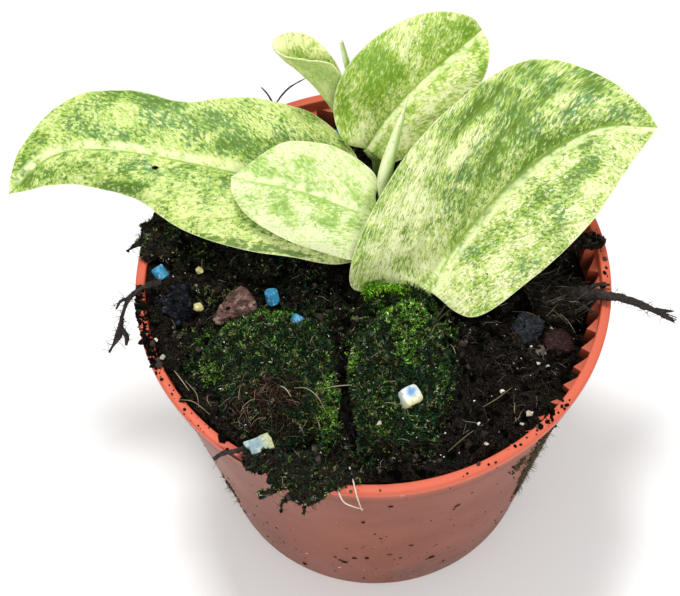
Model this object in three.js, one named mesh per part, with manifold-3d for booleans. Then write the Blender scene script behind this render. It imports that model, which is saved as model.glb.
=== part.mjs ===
// A young marbled shingle plant in a round nursery pot, heaped with mossy potting mix.
// Millimetres, +Z up. The origin is the centre of the flat pad under the pot, which stands on
// Z = 0. The front of the pot faces -Y and the long left leaf points along -X.
import * as THREE from "three";
import { mergeVertices } from "three/addons/utils/BufferGeometryUtils.js";
import Module from "manifold-3d";

const wasm = await Module();
wasm.setup();

// Driving dimensions of the pot
const RIM_RADIUS = 60;
const POT_HEIGHT = 95;
const FOOT_RADIUS = 44;
const RIM_WIDTH = 2.4;
const RIM_DEPTH = 2.4;
const WALL = 1.1;
const STEP_LEVEL = 84.5; // where the plain wall ends and the wider collar begins
const STEP_RADIUS = 57;
const COLLAR_SETBACK = 1; // how far the collar stands inside the rim's outer edge
const COLLAR_RADIUS = RIM_RADIUS - COLLAR_SETBACK;
const RIM_INNER_RADIUS = RIM_RADIUS - RIM_WIDTH;
const EDGE_ROUND = 0.7; // the bevel on the rim and the step
const COLLAR_DRAFT = 0.6; // the collar narrows by this much down to the ledge
const LEDGE_RISE = 2; // the slope inside, from the wall out to the collar
const PAD_RADIUS = 12;
const PAD_SLOPE = 1.2;
const FLOOR_LEVEL = 2.2;
const FOOT_WIDTH = 2.2;
const RIB_COUNT = 60;
const RIB_INNER_RADIUS = 54.5;
const RIB_TOP = 91.5;
const RIB_DRAFT = 0.5; // a rib stands in by this much less at its top
const RIB_FOOT = 80; // below this the wall is smooth inside
const DRAIN_COUNT = 6;
const DRAIN_RADIUS = 3.5;
const DRAIN_CIRCLE = 34;
const NOTCH_WIDTH = 6; // of the gaps in the foot ring, one at each drain hole
const NOTCH_HEIGHT = 0.8;

// Driving dimensions of the mix and the plant
const GAP = 0.3; // clearance between neighbours
const CENTRE_LEVEL = 91;
const EDGE_LEVELS = [82.5, 84, 86, 91, 94.5, 95.5, 95, 88.5]; // at the wall, every 45 degrees from +X
const MIX_RADIUS = 56.8; // where the mix meets the wall above the ribs
const CRUMB = 0.7; // relief of the mix
const MOUND_SEAT = 88; // flat underside of the two moss mounds
const MOUND_EDGE = 3; // least thickness of a mound at its edge
const MOUND_CLEAR = 15; // the mix is cut away above a mound up to here over the rim
const BLADE_THICKNESS = 0.7;
const STEM_RADIUS = 2.6;
const STALK_RADIUS = 1.3;

const SIDES = 60; // round the pot, one for each rib
const SOIL_SIDES = 36;

// Colours and finishes
const plain = (color, roughness) => new THREE.MeshStandardMaterial({ color, roughness, metalness: 0 });
const terracottaPlastic = plain(0xdd6b4e, 0.5);
const darkMix = plain(0x241c17, 0.95);
const moss = plain(0x2f4a1c, 0.95);
const fibre = plain(0x2b241e, 0.9);
const redBark = plain(0x6e4238, 0.85);
const charcoal = plain(0x2a2b2e, 0.8);
const paleStone = plain(0x9a9488, 0.9);
const blueGranule = plain(0x4f93bd, 0.55);
const whiteGranule = plain(0xe4e6dc, 0.6);
const paleGrain = plain(0xc9c27c, 0.8);
const paleRoot = plain(0xb9a184, 0.8);
const limeLeaf = plain(0xc6e07a, 0.45);
const palestLeaf = plain(0xdcecb0, 0.45);
const stemGreen = plain(0x8fae54, 0.5);

const vec = (x, y, z) => new THREE.Vector3(x, y, z);
const lerp = (a, b, t) => a + (b - a) * t;

// A seeded random number from 0 to 1, the same on every run.
function seeded(seed) {
  let state = seed * 9301 + 49297;
  return () => {
    state = (state * 1103515245 + 12345) % 2147483648;
    return state / 2147483648;
  };
}

// A closed geometry as a solid: shared vertices are merged and collapsed faces dropped.
function toSolid(geometry) {
  geometry.deleteAttribute("normal");
  geometry.deleteAttribute("uv");
  const merged = mergeVertices(geometry, 1e-4);
  const faces = [];
  const index = merged.index.array;
  for (let i = 0; i < index.length; i += 3) {
    const [a, b, c] = [index[i], index[i + 1], index[i + 2]];
    if (a !== b && b !== c && c !== a) faces.push(a, b, c);
  }
  return new wasm.Manifold(
    new wasm.Mesh({
      numProp: 3,
      vertProperties: new Float32Array(merged.attributes.position.array),
      triVerts: new Uint32Array(faces),
    }),
  );
}

// Points and triangles as a closed geometry, turned so that its faces point out.
function closedGeometry(points, faces) {
  let volume = 0;
  for (const [a, b, c] of faces) volume += points[a].dot(points[b].clone().cross(points[c]));
  const turned = volume < 0 ? faces.map(([a, b, c]) => [a, c, b]) : faces;
  const geometry = new THREE.BufferGeometry().setFromPoints(points);
  return geometry.setIndex(turned.flat());
}

// A skin over a row of rings with equal numbers of points, closed by a fan at each end.
function ringSolid(rings) {
  const points = rings.flat();
  const n = rings[0].length;
  const faces = [];
  for (let k = 0; k + 1 < rings.length; k++)
    for (let i = 0; i < n; i++) {
      const [a, b] = [k * n + i, k * n + ((i + 1) % n)];
      faces.push([a, b, b + n], [a, b + n, a + n]);
    }
  for (const [k, flip] of [[0, true], [rings.length - 1, false]]) {
    const centre = rings[k].reduce((sum, p) => sum.add(p), vec(0, 0, 0)).divideScalar(n);
    points.push(centre);
    for (let i = 0; i < n; i++) {
      const [a, b] = [k * n + i, k * n + ((i + 1) % n)];
      faces.push(flip ? [points.length - 1, b, a] : [points.length - 1, a, b]);
    }
  }
  return toSolid(closedGeometry(points, faces));
}

// A round strand along a smooth curve. Its radius runs through the radii from end to end.
function strand(path, radii, { sides = 6, steps = 10, grow = 0 } = {}) {
  const curve = new THREE.CatmullRomCurve3(path.map((p) => vec(...p)));
  const frames = curve.computeFrenetFrames(steps, false);
  const rings = [];
  for (let k = 0; k <= steps; k++) {
    const at = (k / steps) * (radii.length - 1);
    const low = Math.min(Math.floor(at), radii.length - 2);
    const radius = lerp(radii[low], radii[low + 1], at - low) + grow;
    const centre = curve.getPointAt(k / steps);
    rings.push(
      Array.from({ length: sides }, (_, i) => {
        const angle = (2 * Math.PI * i) / sides;
        return centre
          .clone()
          .addScaledVector(frames.normals[k], radius * Math.cos(angle))
          .addScaledVector(frames.binormals[k], radius * Math.sin(angle));
      }),
    );
  }
  return ringSolid(rings);
}

// A knobbly lump round a centre, with three radii, a turn about Z and a seeded surface.
function lump(centre, radii, { seed = 1, rough = 0.14, turn = 0, detail = 1, grow = 0 } = {}) {
  const geometry = new THREE.IcosahedronGeometry(1, detail);
  geometry.deleteAttribute("normal");
  geometry.deleteAttribute("uv");
  const shape = mergeVertices(geometry, 1e-4);
  const random = seeded(seed);
  const place = shape.attributes.position;
  for (let i = 0; i < place.count; i++) {
    const p = vec(place.getX(i), place.getY(i), place.getZ(i));
    p.multiplyScalar(1 + rough * (2 * random() - 1));
    p.multiply(vec(...radii.map((r) => r + grow)));
    p.applyAxisAngle(vec(0, 0, 1), turn).add(vec(...centre));
    place.setXYZ(i, p.x, p.y, p.z);
  }
  return toSolid(shape);
}

const join = (...solids) => solids.reduce((all, next) => all.add(next));

// A profile of radii and heights, turned round the pot's axis.
function turned(profile, sides) {
  const outline = profile.map(([r, z]) => new THREE.Vector2(r, z));
  return toSolid(new THREE.LatheGeometry([...outline, outline[0]], sides).rotateX(Math.PI / 2));
}

// The inside of the plain wall at a height.
function wallRadius(z) {
  return lerp(FOOT_RADIUS, STEP_RADIUS, z / STEP_LEVEL) - WALL;
}

// The pot, from the pad's centre out, up, over the rim and back in.
function potSolid() {
  const floorTop = FLOOR_LEVEL + WALL;
  const profile = [
    [0, 0],
    [PAD_RADIUS, 0],
    [PAD_RADIUS + PAD_SLOPE, FLOOR_LEVEL],
    [FOOT_RADIUS - FOOT_WIDTH - EDGE_ROUND, FLOOR_LEVEL],
    [FOOT_RADIUS - FOOT_WIDTH, 0],
    [FOOT_RADIUS, 0],
    [STEP_RADIUS, STEP_LEVEL],
    [COLLAR_RADIUS - EDGE_ROUND, STEP_LEVEL + EDGE_ROUND],
    [COLLAR_RADIUS, POT_HEIGHT - RIM_DEPTH],
    [RIM_RADIUS, POT_HEIGHT - RIM_DEPTH],
    [RIM_RADIUS, POT_HEIGHT - EDGE_ROUND],
    [RIM_RADIUS - EDGE_ROUND, POT_HEIGHT],
    [RIM_INNER_RADIUS, POT_HEIGHT],
    [RIM_INNER_RADIUS - COLLAR_DRAFT, STEP_LEVEL + LEDGE_RISE],
    [STEP_RADIUS - WALL, STEP_LEVEL],
    [wallRadius(floorTop), floorTop],
    [PAD_RADIUS + PAD_SLOPE, floorTop],
    [PAD_RADIUS, WALL],
    [0, WALL],
  ];
  let pot = turned(profile, SIDES);
  for (let i = 0; i < RIB_COUNT; i++) pot = pot.add(stackingRib((2 * Math.PI * i) / RIB_COUNT));
  for (let i = 0; i < DRAIN_COUNT; i++) {
    const angle = (2 * Math.PI * (i + 0.5)) / DRAIN_COUNT;
    pot = pot.subtract(drainHole(angle)).subtract(footNotch(angle));
  }
  return pot;
}

// One saw-toothed rib on the ledge inside the collar, which keeps stacked pots apart.
function stackingRib(angle) {
  const pitch = (2 * Math.PI) / RIB_COUNT;
  const [start, crest, end] = [0.1, 0.2, 0.9].map((share) => angle + pitch * share);
  const corner = (radius, turn, z) => vec(radius * Math.cos(turn), radius * Math.sin(turn), z);
  const level = (z, inner) => [
    corner(RIM_INNER_RADIUS + WALL / 10, start, z),
    corner(RIM_INNER_RADIUS + WALL / 10, end, z),
    corner(inner, crest, z),
  ];
  return ringSolid([level(STEP_LEVEL - GAP, RIB_INNER_RADIUS), level(RIB_TOP, RIB_INNER_RADIUS + RIB_DRAFT)]);
}

function drainHole(angle) {
  const hole = new THREE.CylinderGeometry(DRAIN_RADIUS, DRAIN_RADIUS, 4 * WALL, 8).rotateX(Math.PI / 2);
  hole.translate(DRAIN_CIRCLE * Math.cos(angle), DRAIN_CIRCLE * Math.sin(angle), FLOOR_LEVEL);
  return toSolid(hole);
}

function footNotch(angle) {
  const notch = new THREE.BoxGeometry(2 * FOOT_WIDTH, NOTCH_WIDTH, 2 * NOTCH_HEIGHT);
  return toSolid(notch.translate(FOOT_RADIUS - FOOT_WIDTH / 2, 0, 0).rotateZ(angle));
}

// The rim and collar with the clearance added, cut from what lies over them.
function rimClearance() {
  const profile = [
    [RIM_INNER_RADIUS - COLLAR_DRAFT - GAP, RIB_FOOT],
    [RIM_RADIUS + GAP, RIB_FOOT],
    [RIM_RADIUS + GAP, POT_HEIGHT + GAP],
    [RIM_INNER_RADIUS - GAP, POT_HEIGHT + GAP],
  ];
  return turned(profile, SIDES);
}

// The level of the mix at a place: a slope from the centre to the wall, and crumbs.
function edgeLevel(azimuth) {
  const at = ((azimuth / (2 * Math.PI)) * EDGE_LEVELS.length + EDGE_LEVELS.length) % EDGE_LEVELS.length;
  const low = Math.floor(at);
  const blend = (1 - Math.cos(Math.PI * (at - low))) / 2;
  return lerp(EDGE_LEVELS[low], EDGE_LEVELS[(low + 1) % EDGE_LEVELS.length], blend);
}

function mixLevel(x, y) {
  const out = Math.min(Math.hypot(x, y) / RIB_INNER_RADIUS, 1);
  const slope = lerp(CENTRE_LEVEL, edgeLevel(Math.atan2(y, x)), out * out);
  const crumbs = Math.sin(0.62 * x + 1.3) * Math.sin(0.57 * y) + 0.6 * Math.sin(1.1 * x - 0.8 * y);
  return slope + CRUMB * crumbs * (1 - 0.5 * out);
}

function mixSolid() {
  const ring = (radius, level) =>
    Array.from({ length: SOIL_SIDES }, (_, i) => {
      const angle = (2 * Math.PI * i) / SOIL_SIDES;
      const [x, y] = [radius * Math.cos(angle), radius * Math.sin(angle)];
      return vec(x, y, level(x, y));
    });
  const floor = FLOOR_LEVEL + WALL + GAP;
  const rings = [
    ring(PAD_RADIUS - GAP, () => WALL + GAP),
    ring(PAD_RADIUS + PAD_SLOPE - GAP, () => floor),
    ring(wallRadius(floor) - GAP, () => floor),
    ring(wallRadius(RIB_FOOT) - GAP, () => RIB_FOOT),
    ring(MIX_RADIUS, () => RIB_FOOT),
  ];
  const shares = [1, 0.89, 0.78, 0.66, 0.52, 0.36, 0.2, 0.07];
  for (const share of shares) rings.push(ring(MIX_RADIUS * share, mixLevel));
  return ringSolid(rings).subtract(ribClearance());
}

// The room that the ribs take. The mix stands inside it, and spreads to the wall above it.
function ribClearance() {
  const inner = RIB_INNER_RADIUS - 2 * GAP;
  const profile = [
    [inner, RIB_FOOT - GAP],
    [RIM_RADIUS, RIB_FOOT - GAP],
    [RIM_RADIUS, RIB_TOP + GAP],
    [inner, RIB_TOP + GAP],
  ];
  return turned(profile, SOIL_SIDES);
}

// A mound of moss-covered mix: an uneven oval with a flat underside and a domed, lumpy top.
function mound({ centre, half, turn, crown, lobes, grow = 0 }) {
  const around = 24;
  const levels = [0.3, 0.6, 0.82, 0.95];
  const place = (i, share, z) => {
    const angle = (2 * Math.PI * i) / around;
    const wobble = 1 + 0.06 * Math.sin(lobes * angle + turn) + 0.04 * Math.sin(5 * angle);
    const [a, b] = [half[0] * share * wobble + grow, half[1] * share * wobble + grow];
    const p = vec(a * Math.cos(angle), b * Math.sin(angle), 0).applyAxisAngle(vec(0, 0, 1), turn);
    return vec(centre[0] + p.x, centre[1] + p.y, z);
  };
  const ring = (share, z) => Array.from({ length: around }, (_, i) => place(i, share, z));
  const base = MOUND_SEAT - grow;
  if (grow) return ringSolid([ring(1, base), ring(1, POT_HEIGHT + MOUND_CLEAR)]);
  const rim = ring(1, 0).map((p) => vec(p.x, p.y, Math.max(mixLevel(p.x, p.y), base + MOUND_EDGE) + CRUMB));
  const dome = levels
    .map((share) => [share, Math.sqrt(1 - share * share)])
    .reverse()
    .map(([share, rise]) =>
      ring(share, 0).map((p, i) => {
        const lumps = 0.7 * Math.sin(0.9 * p.x + turn) * Math.cos(0.8 * p.y);
        return vec(p.x, p.y, lerp(rim[i].z, crown, rise) + lumps);
      }),
    );
  return ringSolid([ring(1, base), rim, ...dome]);
}

const mounds = {
  moss_mound_left: { centre: [-25, -27], half: [16.5, 19.5], turn: 0.25, crown: 100, lobes: 3 },
  moss_mound_right: { centre: [4.6, -28.8], half: [11.8, 22.5], turn: -0.08, crown: 99.5, lobes: 2 },
};

// Chips and lumps that lie in the mix, each half sunk in its seat.
const chips = {
  bark_red_left: {
    at: [-35.6, -7.6, 94.5], radii: [6.2, 3.2, 3], seed: 3, turn: 0.62, rough: 0.1, material: redBark,
  },
  charcoal_left: { at: [-50.4, -4.6, 93.5], radii: [4.5, 5.4, 3.8], seed: 5, turn: 0.3, material: charcoal },
  bark_slate_right: {
    at: [38.5, -15.5, 88.5], radii: [4.6, 3.6, 2.4], seed: 7, turn: -0.5, material: charcoal,
  },
  bark_red_right: { at: [45, -17.5, 86.5], radii: [4.2, 4.6, 2.6], seed: 11, turn: 0.4, material: redBark },
  lump_pale_right: { at: [41, -20.5, 88.8], radii: [2, 1.8, 1.6], seed: 13, detail: 0, material: paleStone },
  clump_right: {
    at: [46.5, -4.5, 88.5], radii: [8.2, 6, 4.4], seed: 17, turn: -0.35, rough: 0.2, material: fibre,
  },
};

const chip = ({ at, radii, ...options }, grow = 0) => lump(at, radii, { ...options, grow });

// Fertiliser granules and grains: a short drum, a block or a flake, turned and half sunk.
const GRANULE = 3.8;
const granules = {
  granule_blue_a: { kind: "drum", at: [-53.8, 4.4, 94.1], turn: [0.5, 0.3, 0.2], material: blueGranule },
  granule_blue_b: { kind: "drum", at: [-25.5, -4, 93.5], turn: [1.1, 0.2, 0.7], material: blueGranule },
  granule_blue_c: { kind: "drum", at: [-19.6, -12.2, 94.6], turn: [0.3, 0.8, 0.1], material: blueGranule },
  granule_blue_d: { kind: "drum", at: [-8, 50.5, 86.5], turn: [0.6, 0.1, 0.4], material: blueGranule },
  granule_white: { kind: "block", at: [7.2, -37, 99], turn: [0.25, 0.2, 0.5], material: whiteGranule },
  flake_white: { kind: "flake", at: [-28.8, -47.8, 98.5], turn: [0.2, -0.1, 0.35], material: whiteGranule },
  grain_pale_a: { kind: "grain", at: [-44, 4.5, 94.2], turn: [0.3, 0.4, 0.2], material: paleGrain },
  grain_pale_b: { kind: "grain", at: [-44, -6.3, 94.2], turn: [0.8, 0.2, 0.6], material: paleGrain },
};
const granuleShapes = {
  drum: (grow) => new THREE.CylinderGeometry(GRANULE / 2 + grow, GRANULE / 2 + grow, GRANULE + 2 * grow, 10),
  block: (grow) => new THREE.BoxGeometry(4.8 + 2 * grow, 4.6 + 2 * grow, 4.4 + 2 * grow),
  flake: (grow) => new THREE.BoxGeometry(6 + 2 * grow, 3.8 + 2 * grow, 1.8 + 2 * grow),
  grain: (grow) => new THREE.IcosahedronGeometry(1.3 + grow, 0),
};

function granule({ kind, at, turn }, grow = 0) {
  const shape = granuleShapes[kind](grow);
  shape.rotateX(turn[0]).rotateY(turn[1]).rotateZ(turn[2]).translate(...at);
  return toSolid(shape);
}

// Clumps of mix and moss that lie over the rim, with the sticks and rootlets that grew in them.
const twig = { sides: 5, steps: 3 };
const rootlet = [0.8, 0.6, 0.4]; // radii along a hanging rootlet

function clumpFront(grow = 0) {
  return join(
    lump([-28, -50, 96.6], [5.4, 4.2, 2.8], { seed: 21, turn: 0.3, grow }),
    lump([-20.5, -54, 96.8], [5.6, 4.4, 3.2], { seed: 22, turn: 0.2, grow }),
    lump([-13, -56, 96.2], [4.8, 3.6, 2.6], { seed: 23, grow }),
    lump([-18, -59.5, 95.2], [4.6, 2.8, 2.6], { seed: 24, turn: 0.2, grow }),
    strand([[-20, -56, 97], [-24.5, -58.5, 97.2], [-29.5, -60, 96.4]], [1, 0.9, 0.6], { ...twig, grow }),
    strand([[-22, -59, 95], [-24.2, -61, 94], [-24.4, -61.6, 91]], rootlet, { ...twig, grow }),
    strand([[-18, -60, 95], [-19, -62.2, 93.5], [-19.2, -62.6, 90.5]], rootlet, { ...twig, grow }),
  );
}

function clumpUpperLeft(grow = 0) {
  return join(
    lump([-54, 14, 96.2], [4.8, 6.2, 3], { seed: 31, turn: 0.25, rough: 0.2, grow }),
    strand([[-55, 11, 97], [-59.5, 9.8, 97.4], [-63, 8.2, 96.6]], [1.5, 1, 0.4], { ...twig, grow }),
  );
}

function clumpUpperRight(grow = 0) {
  return lump([54.6, 7, 96.6], [5.4, 2.7, 2.2], { seed: 41, turn: -0.1, rough: 0.2, grow });
}

const clumps = {
  clump_front: clumpFront,
  clump_upper_left: clumpUpperLeft,
  clump_upper_right: clumpUpperRight,
};

// Loose roots and twigs that end in the air or lie over the rim.
const roots = {
  root_right: {
    path: [
      [50, -5.5, 91.5], [53.5, -8, 95], [57, -10, 97.3], [62, -11.5, 97.6], [68, -13.3, 95.8],
      [74.5, -15.5, 92.5],
    ],
    radii: [2.3, 2, 1.5, 1.3, 1.1, 0.5],
    material: fibre,
  },
  root_left: {
    path: [
      [-53.5, 1, 95.5], [-58, -1.4, 96.7], [-61.6, -2.6, 94], [-64, -4, 88], [-65.6, -6.2, 82.5],
      [-68.6, -8.8, 78],
    ],
    radii: [1.2, 1.1, 1, 0.9, 1.1, 0.4],
    material: fibre,
  },
  twig_front_left: {
    path: [[-40, -50, 96.9], [-36.5, -48.8, 97.4], [-32.5, -47.5, 97.2]],
    radii: [0.8, 1.1, 1],
    material: fibre,
  },
  root_back: {
    path: [[-26, 46, 86], [-25, 49.5, 93], [-23.6, 54, 96.6], [-20, 59, 97.6], [-14, 62, 99]],
    radii: [0.5, 0.45, 0.45, 0.4, 0.35],
    material: fibre,
  },
  rootlet_front: {
    path: [[-8, -53, 95.2], [-7.3, -57, 96.4], [-6.5, -60.4, 96], [-6, -61, 93], [-5.4, -61.2, 88.5]],
    radii: [0.5, 0.45, 0.45, 0.4, 0.35],
    material: paleRoot,
  },
};

const root = ({ path, radii }, grow = 0) => strand(path, radii, { grow, steps: 12 });

// The two short stems. Each stands in a plain hole in the mix.
const stems = {
  stem_front: [[4.5, -1, 76], [4, 2, 92], [3.2, 6, 100], [2.2, 9.5, 106]],
  stem_back: [[5, 26, 74], [4.5, 28.5, 90], [3.5, 31, 99], [2.5, 33.5, 105]],
};
const STEM_RADII = [STEM_RADIUS, STEM_RADIUS, STEM_RADIUS * 0.9, STEM_RADIUS * 0.75];

const stem = (name, grow = 0) => strand(stems[name], STEM_RADII, { sides: 8, steps: 8, grow });

// The blades. The midrib and the two margins run from the stalk to the tip, and the blade arches
// by `arch` between them. `stalk` leads from the stem to the blade's base.
const leaves = {
  leaf_left_large: {
    material: limeLeaf,
    stem: "stem_front",
    stalk: [[3, 7.5, 101], [5, 10.5, 101.2], [4, 12.5, 101]],
    midrib: [
      [4, 12.5, 101], [-7.5, 17.5, 104], [-36, 23, 112], [-67, 29, 115], [-80.5, 31, 110], [-92.5, 27, 100],
    ],
    left: [
      [4, 12.5, 101], [1, 4.5, 100], [-8, 1, 100], [-20.5, 2.5, 102], [-32.5, 3.5, 105], [-46.5, 8.5, 107],
      [-58, 17.5, 108], [-69.6, 23, 107], [-80, 25.4, 105.3], [-88, 26, 102.2], [-92.5, 27, 100],
    ],
    right: [
      [4, 12.5, 101], [0, 21, 103], [-3.5, 31, 106], [-14, 39.5, 112], [-30.5, 41.5, 117], [-45.5, 39.5, 119],
      [-60.5, 44, 119], [-75, 44.5, 116], [-88, 35.5, 109], [-92, 28.5, 103], [-92.5, 27, 100],
    ],
    arch: 1.6,
  },
  leaf_left_small: {
    material: palestLeaf,
    stem: "stem_front",
    stalk: [[2.2, 9.2, 105], [4.2, 8.8, 106.4], [3, 9, 106.8]],
    midrib: [[3, 9, 106.8], [-5, 10.5, 110.5], [-17, 14, 114], [-34, 18, 115.5]],
    left: [
      [3, 9, 106.8], [2, 2, 104], [-3, -0.5, 103.5], [-13, 1.5, 105.5], [-23.5, 5, 108.5], [-31, 9.5, 112],
      [-34, 14, 115], [-34, 18, 115.5],
    ],
    right: [
      [3, 9, 106.8], [1.5, 13.5, 109], [2, 18.5, 111.5], [-1.5, 22.5, 113], [-9.5, 26, 116], [-20.5, 26, 118],
      [-34, 18, 115.5],
    ],
    arch: 1.1,
  },
  leaf_right_large: {
    material: limeLeaf,
    stem: "stem_front",
    stalk: [[4.2, 1, 92.5], [9, -2, 92.9], [14.5, -4.5, 93.5]],
    midrib: [[14.5, -4.5, 93.5], [23, 5.5, 101.5], [41.5, 19.5, 112.5], [58, 26, 118], [72.5, 25.5, 118]],
    left: [
      [14.5, -4.5, 93.5], [3, -4.5, 95], [-5.5, -3.5, 98], [-5, -2.5, 107], [5.5, 11, 123], [20, 24.5, 131],
      [41, 38, 131.5], [58, 36, 127], [69.5, 29, 121], [72.5, 25.5, 118],
    ],
    right: [
      [14.5, -4.5, 93.5], [24, -12, 93], [38.5, -6, 99], [53.5, 3.5, 108.5], [65, 17, 115], [72.5, 25.5, 118],
    ],
    arch: 1.8,
  },
  leaf_back: {
    material: limeLeaf,
    stem: "stem_back",
    stalk: [[3, 32.5, 102.5], [1.5, 31, 104], [0, 31.5, 106.5]],
    midrib: [[0, 31.5, 106.5], [5, 35, 113], [13, 40, 120], [30, 49.5, 130]],
    left: [
      [0, 31.5, 106.5], [-5.5, 31.5, 110], [-8, 36.5, 116], [-5, 40, 127.5], [4.5, 46.3, 134],
      [17, 50.3, 136.5], [27, 50, 134.5], [30, 49.5, 130],
    ],
    right: [
      [0, 31.5, 106.5], [6, 26.5, 107], [14.5, 28, 112], [25, 33.5, 120], [30.5, 39.5, 125.5],
      [31.5, 45, 129], [30, 49.5, 130],
    ],
    arch: 1.3,
  },
  leaf_back_curled: {
    material: limeLeaf,
    stem: "stem_back",
    stalk: [[2.8, 34, 102.5], [-1, 37, 104], [-4.5, 38, 107]],
    midrib: [[-4.5, 38, 107], [-7.5, 40.5, 113], [-12, 43.5, 119], [-22, 46, 130]],
    left: [
      [-4.5, 38, 107], [-4.8, 40.5, 122], [-8, 41.5, 129], [-14.5, 40.5, 132], [-19.5, 42, 132],
      [-22, 46, 130],
    ],
    right: [
      [-4.5, 38, 107], [-5.5, 46, 118], [-9, 47.5, 127], [-14.5, 49, 132], [-20.5, 48, 133],
      [-22.5, 47, 131.5], [-22, 46, 130],
    ],
    arch: 0.5,
  },
};
const BLADE_ROWS = 13;
const BLADE_COLUMNS = 3; // on each side of the midrib

// The blade's middle surface: `along` runs from 0 at the stalk to 1 at the tip, and `across`
// from -1 at the left margin through the midrib to 1 at the right one.
function bladeSurface({ midrib, left, right, arch }) {
  const [rib, ...margins] = [midrib, left, right].map(
    (points) => new THREE.CatmullRomCurve3(points.map((p) => vec(...p))),
  );
  return (along, across) => {
    const centre = rib.getPointAt(along);
    const edge = margins[across < 0 ? 0 : 1].getPointAt(along);
    const side = edge.clone().sub(centre);
    const facing = rib.getTangentAt(along).cross(side).normalize();
    if (across < 0) facing.negate();
    const out = Math.abs(across);
    const rise = arch * Math.sin(Math.PI * out) * Math.sin(Math.PI * along);
    return centre.addScaledVector(side, out).addScaledVector(facing, -rise);
  };
}

// The blade as a closed sheet: two offset copies of the surface, split alike, and an edge.
function bladeSolid(leaf) {
  const surface = bladeSurface(leaf);
  const columns = 2 * BLADE_COLUMNS + 1;
  const middle = [];
  for (let i = 0; i <= BLADE_ROWS; i++) {
    const along = (1 - Math.cos((Math.PI * i) / BLADE_ROWS)) / 2; // closer rows at both ends
    for (let j = 0; j < columns; j++) middle.push(surface(along, j / BLADE_COLUMNS - 1));
  }
  const faces = [];
  for (let i = 0; i < BLADE_ROWS; i++)
    for (let j = 0; j + 1 < columns; j++) {
      const a = i * columns + j;
      faces.push([a, a + 1, a + columns + 1], [a, a + columns + 1, a + columns]);
    }
  const sheet = closedGeometry(middle, faces);
  const welded = mergeVertices(sheet, 1e-3);
  welded.computeVertexNormals();
  const position = welded.attributes.position;
  const normal = welded.attributes.normal;
  const [points, count] = [[], position.count];
  for (const offset of [BLADE_THICKNESS / 2, -BLADE_THICKNESS / 2])
    for (let k = 0; k < count; k++)
      points.push(
        vec().fromBufferAttribute(position, k).addScaledVector(vec().fromBufferAttribute(normal, k), offset),
      );
  const closed = [];
  const edges = new Map();
  const index = welded.index.array;
  for (let k = 0; k < index.length; k += 3) {
    const face = [index[k], index[k + 1], index[k + 2]];
    if (new Set(face).size < 3) continue;
    closed.push(face, face.map((v) => v + count).reverse());
    face.forEach((v, n) => edges.set(`${v},${face[(n + 1) % 3]}`, [v, face[(n + 1) % 3]]));
  }
  for (const [a, b] of edges.values())
    if (!edges.has(`${b},${a}`)) closed.push([b, a, a + count], [b, a + count, b + count]);
  return toSolid(closedGeometry(points, closed));
}

function leafSolid(leaf) {
  const stalk = strand(leaf.stalk, [STALK_RADIUS, STALK_RADIUS * 0.9, STALK_RADIUS * 0.7], { steps: 5 });
  return join(bladeSolid(leaf), stalk).subtract(stem(leaf.stem, GAP));
}

// Rolled young leaves, pointed at the top.
const spears = {
  spear: {
    stem: "stem_front",
    path: [[4.4, 13, 106.5], [4, 14.7, 117], [6.5, 18, 128], [9.3, 21, 138], [9.8, 21.6, 140.5]],
    radii: [1.5, 1.9, 2.1, 2, 1.75, 1.45, 1.1, 0.3],
  },
  tip_back: {
    stem: "stem_back",
    path: [[1.2, 36.5, 105], [-1.5, 40, 114], [-4, 43.4, 126], [-5.3, 44.8, 133.4]],
    radii: [1, 1.1, 1.1, 1, 0.9, 0.5],
  },
};

const spearSolid = ({ stem: holder, path, radii }) => strand(path, radii).subtract(stem(holder, GAP));

// Assembly, from the mix up. A piece that lies in others has a seat cut for it in all of them.
const solids = {};
function place(name, material, shape, grown) {
  if (grown) for (const carrier of Object.values(solids)) carrier.shape = carrier.shape.subtract(grown);
  solids[name] = { material, shape };
}

const rim = rimClearance();
place("soil", darkMix, mixSolid());
for (const [name, form] of Object.entries(mounds))
  place(name, moss, mound(form), mound({ ...form, grow: GAP }));
for (const [name, build] of Object.entries(clumps)) place(name, fibre, build().subtract(rim), build(GAP));
for (const [name, form] of Object.entries(chips)) place(name, form.material, chip(form), chip(form, GAP));
for (const [name, form] of Object.entries(granules))
  place(name, form.material, granule(form), granule(form, GAP));
for (const [name, form] of Object.entries(roots)) place(name, form.material, root(form), root(form, GAP));
for (const name of Object.keys(stems)) place(name, stemGreen, stem(name), stem(name, GAP));
for (const [name, leaf] of Object.entries(leaves)) place(name, leaf.material, leafSolid(leaf));
for (const [name, spear] of Object.entries(spears)) place(name, palestLeaf, spearSolid(spear));
place("pot", terracottaPlastic, potSolid());

const plant = new THREE.Group();
for (const [name, { shape, material }] of Object.entries(solids)) {
  const { vertProperties, triVerts, numProp } = shape.getMesh();
  const geometry = new THREE.BufferGeometry();
  const interleaved = new THREE.InterleavedBuffer(vertProperties, numProp);
  geometry.setAttribute("position", new THREE.InterleavedBufferAttribute(interleaved, 3, 0));
  geometry.setIndex(new THREE.BufferAttribute(triVerts, 1));
  const mesh = new THREE.Mesh(geometry, material);
  mesh.name = name;
  plant.add(mesh);
}

export default plant;
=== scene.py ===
# A young marbled shingle plant in a round nursery pot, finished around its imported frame.
import math

import bmesh
import bpy
import numpy as np
from mathutils import Matrix, Vector


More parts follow.
